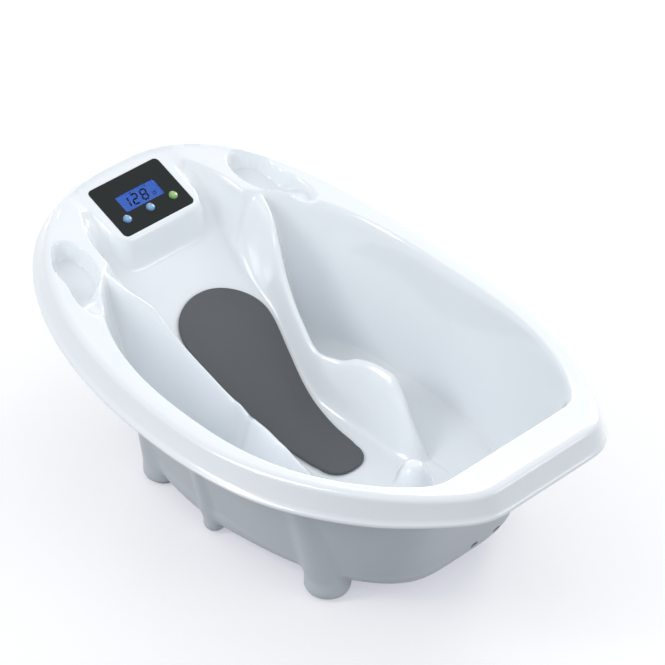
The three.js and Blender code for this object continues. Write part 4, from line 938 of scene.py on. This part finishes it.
def base_shell():
    """Footed base with its legs, sockets for pads and screws, drain hole, vents and cable port."""
    th = (np.arange(480) + 0.5) * 2 * math.pi / 480

    def round_at(r, z):
        return np.column_stack([r * np.cos(th), r * np.sin(th), z])

    outer = [round_at(with_legs(th, r, z), z) for r, z in base_side(th, 0)]
    edge_r = np.hypot(outer[0][:, 0], outer[0][:, 1])
    bottom = []
    for inset in BOTTOM_INSETS:
        r = edge_r - inset
        bottom.append(round_at(r, base_bottom_z(r * np.cos(th), np.abs(r * np.sin(th)))))
    inner = [round_at(r, z) for r, z in base_side(th, BASE_WALL, rows=18)]
    stack = bottom[::-1] + outer + inner[::-1]
    n = len(th)
    rings = [list(range(k * n, (k + 1) * n)) for k in range(len(stack))]
    faces = [f for a, b in zip(rings, rings[1:]) for f in band(a, b)]
    middle = len(stack) * n
    points = np.vstack(stack + [[[0, 0, BASE_Z]], [[0, 0, BASE_Z + BASE_WALL]]])
    for i in range(n):
        j = (i + 1) % n
        faces.append((middle, j, i))
        faces.append((middle + 1, rings[-1][i], rings[-1][j]))
    obj = make_piece("footed_base", points, faces, GREY_BASE, "bath")
    cutters = []
    for _, sign in SIDES:
        for _, x, y in FEET:
            cutters.append(round_cut([(22, -2), (21.5, 3.6), (21.5, 11.5)], 48, (x, sign * y)))
        for x, y in BOSSES:
            cutters.append(round_cut([(2.4, 12), (2.4, 20)], 20, (x, sign * y)))
    cutters.append(round_cut([(11.8, 5), (11.8, 48)], 48, (DRAIN_X, 0)))
    oval, oval_faces = round_cut([(4, -16), (4, 16)], 32)
    for y, z in VENTS:
        lying = np.column_stack([FLOOR["foot"] + 4 + oval[:, 2], y + 1.7 * oval[:, 1], z + oval[:, 0]])
        cutters.append((lying, oval_faces))
    port, port_faces = round_cut([(8, -14), (8, 14)], 24)
    cutters.append((np.column_stack([port[:, 2] - 265, port[:, 1], port[:, 0] + 144]), port_faces))
    carve(obj, cutters)
    smooth(obj.data)
    finish(obj, 60, "base", "base_shell")


# Mat
MAT_SIDE = [(-170, 69), (-120, 60), (-80, 50), (-40, 43.5), (0, 38), (30, 35.5), (42, 33.5)]
MAT_HEAD_X = -233
MAT_FOOT_X = 72
MAT_THICK = 4
MAT_AIR = 0.4


def mat_outline(count):
    """Half outline from the head tip to the foot tip, as (x, half width)."""
    x0, x1 = MAT_SIDE[0][0], MAT_SIDE[-1][0]
    w0, w1 = MAT_SIDE[0][1], MAT_SIDE[-1][1]
    a = np.linspace(0, math.pi / 2, count // 3)[:-1]
    head = np.column_stack([x0 - (x0 - MAT_HEAD_X) * np.cos(a), w0 * np.sin(a) ** 0.95])
    x = np.linspace(x0, x1, count // 2)
    middle = np.column_stack([x, curve_at(MAT_SIDE, x, 1)])
    a = np.linspace(math.pi / 2, 0, count // 4)[1:]
    foot = np.column_stack([x1 + (MAT_FOOT_X - x1) * np.cos(a), w1 * np.sin(a) ** 0.8])
    return np.vstack([head, middle, foot])


MAT_EDGE = (
    (5, 0), (2, 0), (0.5, 0.15), (0, 0.9), (0, 2.2), (0.35, 3.2), (1.1, 3.8), (2.2, MAT_THICK),
    (5, MAT_THICK),
)
MAT_ROWS = 14


def seat_mat():
    """Soft mat that follows the ramp, with a rolled edge."""
    half = mat_outline(150)
    loop = np.vstack([half, np.column_stack([half[-2:0:-1, 0], -half[-2:0:-1, 1]])])
    along = np.roll(loop, -1, axis=0) - np.roll(loop, 1, axis=0)
    normal = np.column_stack([along[:, 1], -along[:, 0]])
    normal /= np.linalg.norm(normal, axis=1)[:, None]
    if np.sum(normal[:, 0] * (loop[:, 0] + 90)) < 0:
        normal = -normal

    def on_ramp(p, height):
        return np.column_stack([p, surface_z(p[:, 0], p[:, 1]) + MAT_AIR + height])

    n, m = len(loop), len(half)
    points = np.vstack([on_ramp(loop - normal * inset, height) for inset, height in MAT_EDGE])
    rings = [list(range(k * n, (k + 1) * n)) for k in range(len(MAT_EDGE))]
    faces = [f for a, b in zip(rings, rings[1:]) for f in band(a, b)]
    for edge, height in ((rings[0], 0), (rings[-1], MAT_THICK)):
        across = [edge[:m]]
        mirror = [edge[0]] + [edge[n - k] for k in range(1, m - 1)] + [edge[m - 1]]
        a, b = points[edge[:m]], points[mirror]
        for s in range(1, MAT_ROWS):
            across.append(list(range(len(points), len(points) + m)))
            points = np.vstack([points, on_ramp(a[:, :2] + (b[:, :2] - a[:, :2]) * s / MAT_ROWS, height)])
        across.append(mirror)
        for p, q in zip(across, across[1:]):
            faces += [(p[k], p[k + 1], q[k + 1], q[k]) for k in range(m - 1)]
    obj = make_piece("foam_mat", points, faces, MAT_FOAM, "bath")
    facing_out(obj, weld=1e-6)
    finish(obj, None, "mat", "seat_mat")


def panel_outline(x, y, r, at=(0, 0)):
    """Outline of a rounded rectangle of the panel for any inset."""
    def outline(inset):
        loop = rounded_rectangle(x - 2 * inset, y - 2 * inset, max(r - inset, 0.05), 8)
        return [(px + at[0], py + at[1]) for px, py in loop]
    return outline


def hole_outline(x, y, r):
    return lambda inset: [tuple(p) for p in circle(x, y, r - inset, 48)]


BUTTONS = (("power_button", -BUTTON_PITCH), ("tare_button", 0), ("hold_button", BUTTON_PITCH))


def display_parts():
    """Black plate with its window and button holes, clear window in it, and backlit display below."""
    holes = [panel_outline(WINDOW[0], WINDOW[1], 2, (WINDOW_X, 0))]
    holes += [hole_outline(BUTTON_X, y, BUTTON_R + GAP) for _, y in BUTTONS]
    window = panel_outline(WINDOW[0] - 2 * GAP, WINDOW[1] - 2 * GAP, 1.7, (WINDOW_X, 0))
    for name, outline, gaps, low, top, edge, look, slot, part in (
            ("display_panel_plate", panel_outline(PANEL[0], PANEL[1], 7), holes, PANEL_LOW, PANEL_TOP, 0.7,
             PANEL_BLACK, "panel", "control_panel"),
            ("display_window_pane", window, [], LENS_LOW, LENS_TOP, 0.3,
             CLEAR_WINDOW, "display", "display_lens"),
            ("display_glass", panel_outline(31.4, 76, 0.8, (-4.2, 0)), [], LCD_LOW, LCD_TOP, 0.25,
             DISPLAY_BLUE, "lcd", "lcd_module")):
        points, faces = plate_with_holes(outline, gaps, low, top, edge, 0.25)
        finish(make_piece(name, on_pod(points), faces, look, "bath"), 28, slot, part)


# Seven bars of a digit: middle and way of each on a cell, across the text line and up
CELL_WIDE, CELL_HIGH = 8.6, 15.6
BAR_WIDE, BAR_THICK, BAR_LEAN = 2.7, 0.14, 0.2
BAR_TIP = 0.12
MARK_WIDE = 0.42
DIGIT_BARS = {
    "top": (0, 1, "level"), "middle": (0, 0, "level"), "bottom": (0, -1, "level"),
    "upper_left": (-1, 0.5, "upright"), "upper_right": (1, 0.5, "upright"),
    "lower_left": (-1, -0.5, "upright"), "lower_right": (1, -0.5, "upright"),
}
DIGITS = {
    "1": ("upper_right", "lower_right"),
    "2": ("top", "upper_right", "middle", "lower_left", "bottom"),
    "8": tuple(DIGIT_BARS),
}
DIGIT_CENTRES = (("1", -22.2), ("2", -7.3), ("8", 8.3))
SMALL_MARKS = (
    (-14.0, -8.6, 60, 0.32), (-14.0, -6.9, 120, 0.32), (-14.2, 17.2, 90, 0.42),
    (0.4, 19.8, 170, 0.5), (0.4, 22.2, 170, 0.5), (0.4, 24.6, 170, 0.5), (3.6, 22.0, 90, 0.95),
)


def digit_bar(tree, given):
    """One bar with pointed ends, as the hull of a short wide and a long thin block."""
    long, wide = given["Bar Length"], given["Bar Width"]
    blocks = []
    short, thin = reckon(tree, "SUBTRACT", long, wide), reckon(tree, "MULTIPLY", wide, BAR_TIP)
    for x, y in ((short, wide), (long, thin)):
        size = node(tree, "ShaderNodeCombineXYZ", [(x, "X"), (y, "Y"), (given["Bar Thickness"], "Z")])
        block = node(tree, "GeometryNodeMeshCube", [(size.outputs["Vector"], "Size")])
        blocks.append((block.outputs["Mesh"], "Geometry"))
    both = node(tree, "GeometryNodeJoinGeometry", blocks)
    hull = node(tree, "GeometryNodeConvexHull", [(both.outputs["Geometry"], "Geometry")])
    return hull.outputs["Convex Hull"]


def pod_turn(angle):
    """Turn of a copy that lies on the display plane, angle in degrees round the panel's upright."""
    return (POD.to_3x3() @ Matrix.Rotation(math.radians(angle), 3, "Z")).to_euler()


def display_digits():
    """Dark figures on the display, by a node tree that sets a bar at each place."""
    length = CELL_HIGH / 2 - 0.35
    sizes = {"Bar Length": length * MM, "Bar Width": BAR_WIDE * MM, "Bar Thickness": BAR_THICK * MM}
    tree = copies_tree("figure_bars", sizes, digit_bar, DIGIT_DARK)
    places = []
    height = LCD_TOP + 0.08

    def lay(x, y, angle, size):
        places.append((on_pod([(x, y, height)])[0], pod_turn(angle), size))

    for digit, cy in DIGIT_CENTRES:
        for bar in DIGITS[digit]:
            right, up, way = DIGIT_BARS[bar]
            up *= CELL_HIGH / 2
            across = cy + right * CELL_WIDE / 2 + BAR_LEAN * up
            if way == "level":
                lay(WINDOW_X - up, across, 90, ((CELL_WIDE - 0.5) / length, 1, 1))
            else:
                lay(WINDOW_X - up, across, 180 - math.degrees(math.atan(BAR_LEAN)), (1, 1, 1))
    for x, y, angle, size in SMALL_MARKS:
        lay(x, y, angle, (size, MARK_WIDE, 1))
    grown("display_figures", tree, places, "bath", shade=30)


# Lit middle and shaded rim of each dome's colour: painted light and painted shade.
BLUE_DOME_LIT_AND_SHADED = ((0.20, 0.42, 0.66), (0.035, 0.12, 0.30))
GREEN_DOME_LIT_AND_SHADED = ((0.30, 0.52, 0.15), (0.07, 0.21, 0.035))
FLANGE_R = BUTTON_R + 0.9


def buttons():
    """Glossy domes with the flange and stem below."""
    top, side = PANEL_TOP + 3, PANEL_TOP + 0.35
    profile = [(0, -9.0), (2.0, -9.0), (2.2, -8.8), (2.2, -3.6), (FLANGE_R, -3.6), (FLANGE_R, -2.8)]
    profile += [(BUTTON_R, -2.6), (BUTTON_R, -1.2)]
    profile += round_over(0, top, BUTTON_R, side, 14)[::-1][:-1] + [(0, top)]
    for name, y in BUTTONS:
        points, faces = turned(profile, 64, (BUTTON_X, y))
        centre = on_pod([(BUTTON_X, y, top)])[0]
        place = tuple(float(v) * MM for v in (centre[0] + CENTRE, centre[1], centre[2]))
        green = name == "hold_button"
        # Each dome gets painted light in its middle and painted shade at its rim.
        look = shaded_dome_material(name + "_gloss", place, *(GREEN_DOME_LIT_AND_SHADED if green else BLUE_DOME_LIT_AND_SHADED))
        obj = make_piece(name + "_dome", on_pod(points), faces, look, name)
        finish(obj, 35, "green_button" if green else "blue_button", name)


# Feet, screws, drain and sensor
FEET = (("head", -129, 153), ("foot", 172, 141))
SIDES = (("near", -1), ("far", 1))
BOSSES = ((-160, 130), (-20, 140), (100, 128))
TRAY_SCREWS = tuple((x, y) for x in (-40.5, 40.5) for y in (-58, 58))
PAD_R = 20
SCREW_SIZES = ("Head Radius", "Head Height", "Shank Radius", "Shank Length", "Slot Width")
CASE_SCREW = (4, 2.5, 2, 19.3, 0.9)
TRAY_SCREW = (3, 1.8, 1.5, 7.5, 0.7)
HEAD_TAPER, SLOT_SINK = 0.72, 0.55


def foot_pads():
    """Rubber pads with two ring grooves on the sole."""
    profile = [(0, 0.5), (3.5, 0.5), (4.2, 0), (9.4, 0), (9.9, 0.7), (11.1, 0.7), (11.6, 0), (15.2, 0)]
    profile += [(15.7, 0.7), (16.9, 0.7), (17.4, 0)]
    bends = np.radians([0, 22, 45, 68, 90])
    profile += [(PAD_R - 0.9 + 0.9 * math.sin(a), 0.9 - 0.9 * math.cos(a)) for a in bends]
    profile += [(PAD_R, 2.6), (PAD_R - 0.4, 3), (0, 3)]
    for end, x, y in FEET:
        for side, sign in SIDES:
            points, faces = turned(profile, 72, (x, sign * y))
            obj = make_piece(f"rubber_pad_{end}_{side}", points, faces, RUBBER, "bath")
            finish(obj, 35, "rubber", f"foot_pad_{end}_{side}")


def shifted(tree, body, *offset):
    """A body moved by X, Y and Z sockets or numbers."""
    by = node(tree, "ShaderNodeCombineXYZ", zip(offset, "XYZ")).outputs["Vector"]
    return node(tree, "GeometryNodeTransform", [(body, "Geometry"), (by, "Translation")]).outputs["Geometry"]


def cross_screw(tree, given):
    """Pan head with a cross recess on a plain shank. The head looks down the local -Z axis."""
    radius, height, length = (given[k] for k in ("Head Radius", "Head Height", "Shank Length"))
    narrow = reckon(tree, "MULTIPLY", radius, HEAD_TAPER)
    head = node(tree, "GeometryNodeMeshCone", [
        (radius, "Radius Top"), (narrow, "Radius Bottom"), (height, "Depth")], vertices=28)
    shank = node(tree, "GeometryNodeMeshCylinder", [
        (given["Shank Radius"], "Radius"), (length, "Depth")], vertices=16)
    stand = shifted(tree, shank.outputs["Mesh"], 0.0, 0.0, reckon(tree, "MULTIPLY", length, 0.5))
    slots = []
    for a, b in (("X", "Y"), ("Y", "X")):
        size = node(tree, "ShaderNodeCombineXYZ", [(radius, a), (given["Slot Width"], b), (height, "Z")])
        block = node(tree, "GeometryNodeMeshCube", [(size.outputs["Vector"], "Size")])
        sink = reckon(tree, "MULTIPLY", height, -SLOT_SINK)
        slots.append(shifted(tree, block.outputs["Mesh"], 0.0, 0.0, sink))
    middle = shifted(tree, head.outputs["Mesh"], 0.0, 0.0, reckon(tree, "MULTIPLY", height, -0.5))
    whole = node(tree, "GeometryNodeMeshBoolean", [(middle, "Mesh 2"), (stand, "Mesh 2")], operation="UNION")
    cross = [(slot, "Mesh 2") for slot in slots]
    cut = node(tree, "GeometryNodeMeshBoolean", [(whole.outputs["Mesh"], "Mesh 1"), *cross],
               operation="DIFFERENCE")
    return cut.outputs["Mesh"]


def screws():
    """Case screws in the base and tray screws under the pod, each kind by its own sizes of one tree."""
    big, small = ({label: v * MM for label, v in zip(SCREW_SIZES, kind)} for kind in (CASE_SCREW, TRAY_SCREW))
    tree = copies_tree("cross_screws", big, cross_screw, STEEL)
    case = [((x, sign * y, 14.7), (0, 0, 0.3 * k + sign), (1, 1, 1))
            for k, (x, y) in enumerate(BOSSES) for _, sign in SIDES]
    obj = grown("case_screws", tree, case, "bath")
    finish(obj, None, "steel", *[f"case_screw_{k + 1}" for k in range(6)])
    tray = [(on_pod([(x, y, -11.8)])[0], pod_turn(20 * k), (1, 1, 1)) for k, (x, y) in enumerate(TRAY_SCREWS)]
    obj = grown("tray_screws", tree, tray, "bath", values=small)
    finish(obj, None, "steel", *[f"tray_screw_{k + 1}" for k in range(4)])


def grip_rib(tree, given):
    """Half-round grip rib, flat side up."""
    bar = node(tree, "GeometryNodeMeshCylinder", [
        (given["Rib Radius"], "Radius"), (given["Rib Length"], "Depth")], vertices=16)
    lie = node(tree, "GeometryNodeTransform", [
        (bar.outputs["Mesh"], "Geometry"), ((math.pi / 2, 0, 0), "Rotation")])
    return lie.outputs["Geometry"]


def battery_door():
    """Door with rounded edges and grip ribs by a node tree."""
    points, faces = plate_with_holes(panel_outline(38.5, 52.3, 2), [], 0, 2.0, 0.5, 0)
    points[:, 2] = -30.4 - points[:, 2]
    door = make_piece("battery_door_cover", on_pod(points), faces, TRAY_GREY, "battery_door")
    finish(door, 28, "tray", "battery_door")
    tree = copies_tree("grip_ribs", {"Rib Radius": 0.7 * MM, "Rib Length": 18 * MM}, grip_rib, TRAY_GREY)
    places = [(on_pod([(8 + 2.4 * k, 0, -32.45)])[0], pod_turn(0), (1, 1, 1)) for k in range(4)]
    grown("battery_door_ribs", tree, places, "battery_door")


def drain():
    """Ring seal in the drain, and its plug with a grip tab."""
    top = DRAIN_Z + 0.2
    ring = [(6.8, 36), (8.7, 36), (8.7, 46.3), (11.4, 46.3), (11.7, 46.6), (11.7, top - 0.3), (11.4, top)]
    ring += [(7.1, top), (6.8, top - 0.3)]
    count = 72
    points = np.vstack([at_height(circle(DRAIN_X, 0, r, count), z) for r, z in ring])
    rows = [list(range(k * count, (k + 1) * count)) for k in range(len(ring))]
    faces = [f for k in range(len(ring)) for f in band(rows[k], rows[(k + 1) % len(ring)])]
    finish(make_piece("drain_seal_ring", points, faces, SEAL_RUBBER, "bath"), 40, "seal", "drain_seal")

    profile = [(0, 37), (5.2, 37), (6.3, 38.6), (6.5, 39.4), (6.5, top + 0.3), (9.6, top + 0.3)]
    profile.append((10, top + 0.7))
    for t in np.radians([0, 20, 40, 60, 80, 90]):
        profile.append((10 - 3.6 * (1 - math.cos(t)), top + 1.9 + 1.1 * math.sin(t)))
    profile.append((0, top + 3))
    tab = [(-6, 2.2), (6, 2.2), (6, 7.4)]
    for x, turns in ((3.6, (20, 40, 60, 80)), (-3.6, (100, 120, 140, 160))):
        tab += [(x + 2.4 * math.cos(t), 7.4 + 2.6 * math.sin(t)) for t in np.radians(turns)]
    tab.append((-6, 7.4))
    sheets = ((-1.3, 0.5), (-1.05, 0.14), (-0.7, 0), (0.7, 0), (1.05, 0.14), (1.3, 0.5))
    rings = []
    for y, inset in sheets:
        shrink = 1 - inset / 6
        rings.append([(DRAIN_X + x * shrink, y, top + 2.2 + (z - 2.2) * shrink) for x, z in tab])
    n = len(tab)
    rows = [list(range(k * n, k * n + n)) for k in range(len(sheets))]
    tab_faces = [f for a, b in zip(rows, rows[1:]) for f in band(a, b)]
    tab_faces += [tuple(rows[0]), tuple(rows[-1])[::-1]]
    points, faces = join_bodies([turned(profile, 64, (DRAIN_X, 0)), (np.vstack(rings), tab_faces)])
    finish(make_piece("drain_plug_knob", points, faces, PLUG_WHITE, "drain_plug"), 35, "plug", "drain_plug")


def sensor():
    """Temperature sensor and its grommet, square to the face of the crotch post."""
    share = ((POST_TOP - SENSOR_Z) / POST_DROP) ** (1 / POST_POWER)
    slope = POST_DROP * POST_POWER / (POST_FRONT * POST_HALF) * share ** (POST_POWER - 1)
    lean = Matrix.Translation((POST_X - POST_FRONT * POST_HALF * share, 0, SENSOR_Z))
    lean = lean @ Matrix.Rotation(-math.atan(slope), 4, "Y")
    m = np.array(lean)
    grommet = [(0, -7), (3.6, -7), (3.8, -6.6), (3.8, 0.2), (3.7, 0.5), (3.3, 0.75), (2.5, 0.8), (0, 0.8)]
    probe = [(0, -9), (1.8, -9), (2, -8.8), (2, 0.9), (1.8, 1.4), (1.2, 1.75), (0, 1.9)]
    for name, part, profile, look, slot in (
            ("sensor_grommet_ring", "sensor_grommet", grommet, WHITE_RUBBER, "seal"),
            ("temperature_probe", "temperature_sensor", probe, PROBE_STEEL, "steel")):
        points, faces = turned(profile, 40)
        obj = make_piece(name, points @ m[:3, :3].T + m[:3, 3], faces, look, "bath")
        finish(obj, 35, slot, part)


def finish_inner_parts():
    """Finishes of the solids that stay as they are: what lies inside the base and the pod."""
    finishes = {"backlight_plate": DIFFUSER, "main_board": BOARD_GREEN, "junction_board": BOARD_GREEN,
                "switch_mat": SILICONE, "electronics_tray": TRAY_GREY, "harness": CABLE, "sensor_lead": CABLE,
                "battery_contact_near": STEEL, "battery_contact_far": STEEL}
    finishes.update({f"battery_{k}": CELL_SLEEVE for k in (1, 2, 3)})
    for end, _, _ in FEET:
        for side, _ in SIDES:
            finishes[f"foot_cap_{end}_{side}"] = CAP_GREY
            finishes[f"load_cell_{end}_{side}"] = STEEL
            finishes[f"cell_lead_{end}_{side}"] = CABLE
    for name, look in finishes.items():
        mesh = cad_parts[name].data
        mesh.materials.clear()
        mesh.materials.append(look)


for make in (tub_shell, base_shell, seat_mat, display_parts, display_digits, buttons, foot_pads, screws,
             battery_door, drain, sensor, finish_inner_parts):
    make()


# Camera, floor and light
TARGET = Vector((-0.1278 + CENTRE * MM, 0, 0.230))
DISTANCE = 3.9529
AZIMUTH, ELEVATION = math.radians(47.94), math.radians(38.0)
FOCAL_PIXELS = 3055.5
FRAME_PIXELS = 665
AXIS_PIXEL = (250.9, 288.0)


def photo_camera():
    """Camera of the photograph: its place, lens and the shift of its middle."""
    flat = math.cos(ELEVATION)
    back = Vector((math.sin(AZIMUTH) * flat, -math.cos(AZIMUTH) * flat, math.sin(ELEVATION)))
    data = bpy.data.cameras.new("camera")
    data.sensor_width = 36
    data.lens = FOCAL_PIXELS / FRAME_PIXELS * data.sensor_width
    data.shift_x = (FRAME_PIXELS / 2 - AXIS_PIXEL[0]) / FRAME_PIXELS
    data.shift_y = -(FRAME_PIXELS / 2 - AXIS_PIXEL[1]) / FRAME_PIXELS
    data.clip_end = 50
    camera = placed("camera", data)
    camera.location = TARGET + back * DISTANCE
    camera.rotation_euler = (-back).to_track_quat("-Z", "Y").to_euler()
    bpy.context.scene.camera = camera


def picked(tree, unseen, seen, output):
    """One shader for bounced light, and another for what is seen straight or by way of gloss and glass."""
    path = node(tree, "ShaderNodeLightPath")
    total = path.outputs["Is Camera Ray"]
    for ray in ("Is Glossy Ray", "Is Transmission Ray"):
        total = reckon(tree, "MAXIMUM", total, path.outputs[ray])
    pick = node(tree, "ShaderNodeMixShader", [(total, "Fac"), (unseen.outputs[0], 1), (seen.outputs[0], 2)])
    tree.links.new(pick.outputs[0], tree.nodes[output].inputs["Surface"])


FLOOR_GLOW = (0.43, 0.43, 0.51)
FLOOR_LIT = (0.60, 0.60, 0.52)
FLOOR_BOUNCE = (0.27, 0.28, 0.30)
FLOOR_HALF = 6


def studio_floor():
    """Pale floor. Part of its white is its own, so that the shadow on it stays light and cool."""
    mesh = bpy.data.meshes.new("floor")
    corners = ((-1, -1), (1, -1), (1, 1), (-1, 1))
    mesh.from_pydata([(FLOOR_HALF * x, FLOOR_HALF * y, 0) for x, y in corners], [], [(0, 1, 2, 3)])
    mat = bpy.data.materials.new("pale_floor")
    mat.use_nodes = True
    tree = mat.node_tree
    tree.nodes.remove(tree.nodes["Principled BSDF"])
    glow = node(tree, "ShaderNodeEmission", color=(*FLOOR_GLOW, 1))
    lit = node(tree, "ShaderNodeBsdfDiffuse", color=(*FLOOR_LIT, 1))
    both = node(tree, "ShaderNodeAddShader", [(glow.outputs[0], 0), (lit.outputs[0], 1)])
    bounce = node(tree, "ShaderNodeBsdfDiffuse", color=(*FLOOR_BOUNCE, 1))
    picked(tree, bounce, both, "Material Output")
    mesh.materials.append(mat)
    placed("floor", mesh)


SKY_LOW, SKY_HIGH, SKY_POWER = 0.66, 0.80, 1.0
SKY_TINT = (0.93, 0.965, 1.0)


def studio_sky():
    """Soft light that grows from the horizon up, with white behind the object."""
    world = bpy.data.worlds.new("studio")
    world.use_nodes = True
    tree = world.node_tree
    light = tree.nodes["Background"]
    light.inputs["Color"].default_value = (*SKY_TINT, 1)
    place = node(tree, "ShaderNodeTexCoord")
    axes = node(tree, "ShaderNodeSeparateXYZ", [(place.outputs["Generated"], "Vector")])
    steep = node(tree, "ShaderNodeMath", [(axes.outputs["Z"], 0), (SKY_POWER, 1)],
                 operation="POWER", use_clamp=True)
    rise = node(tree, "ShaderNodeMapRange", [(steep.outputs["Value"], "Value")],
                to_min=SKY_LOW, to_max=SKY_HIGH)
    tree.links.new(rise.outputs["Result"], light.inputs["Strength"])
    white = node(tree, "ShaderNodeBackground", color=(1, 1, 1, 1))
    picked(tree, light, white, "World Output")
    bpy.context.scene.world = world


def softbox(name, location, aim, wide, high, power):
    """Rectangular lamp turned to a point."""
    data = bpy.data.lights.new(name, "AREA")
    data.shape = "RECTANGLE"
    data.size, data.size_y = wide, high
    data.energy = power
    lamp = placed(name, data)
    lamp.location = location
    lamp.rotation_euler = (Vector(aim) - Vector(location)).to_track_quat("-Z", "Y").to_euler()


photo_camera()
studio_floor()
softbox("back_softbox", (-0.4, 2.2, 1.5), (0, 0, 0.1), 1.0, 1.0, 19)
softbox("head_softbox", (-2.1, 1.4, 1.0), (0, 0, 0.2), 1.0, 0.5, 8)
softbox("foot_softbox", (2.0, 0.9, 1.05), (-0.3, 0, 0.2), 1.0, 0.6, 6)
softbox("front_softbox", (-0.75, -1.85, 1.75), (0, 0, 0.15), 0.5, 1.2, 16)
studio_sky()
bpy.context.scene.view_settings.view_transform = "Standard"
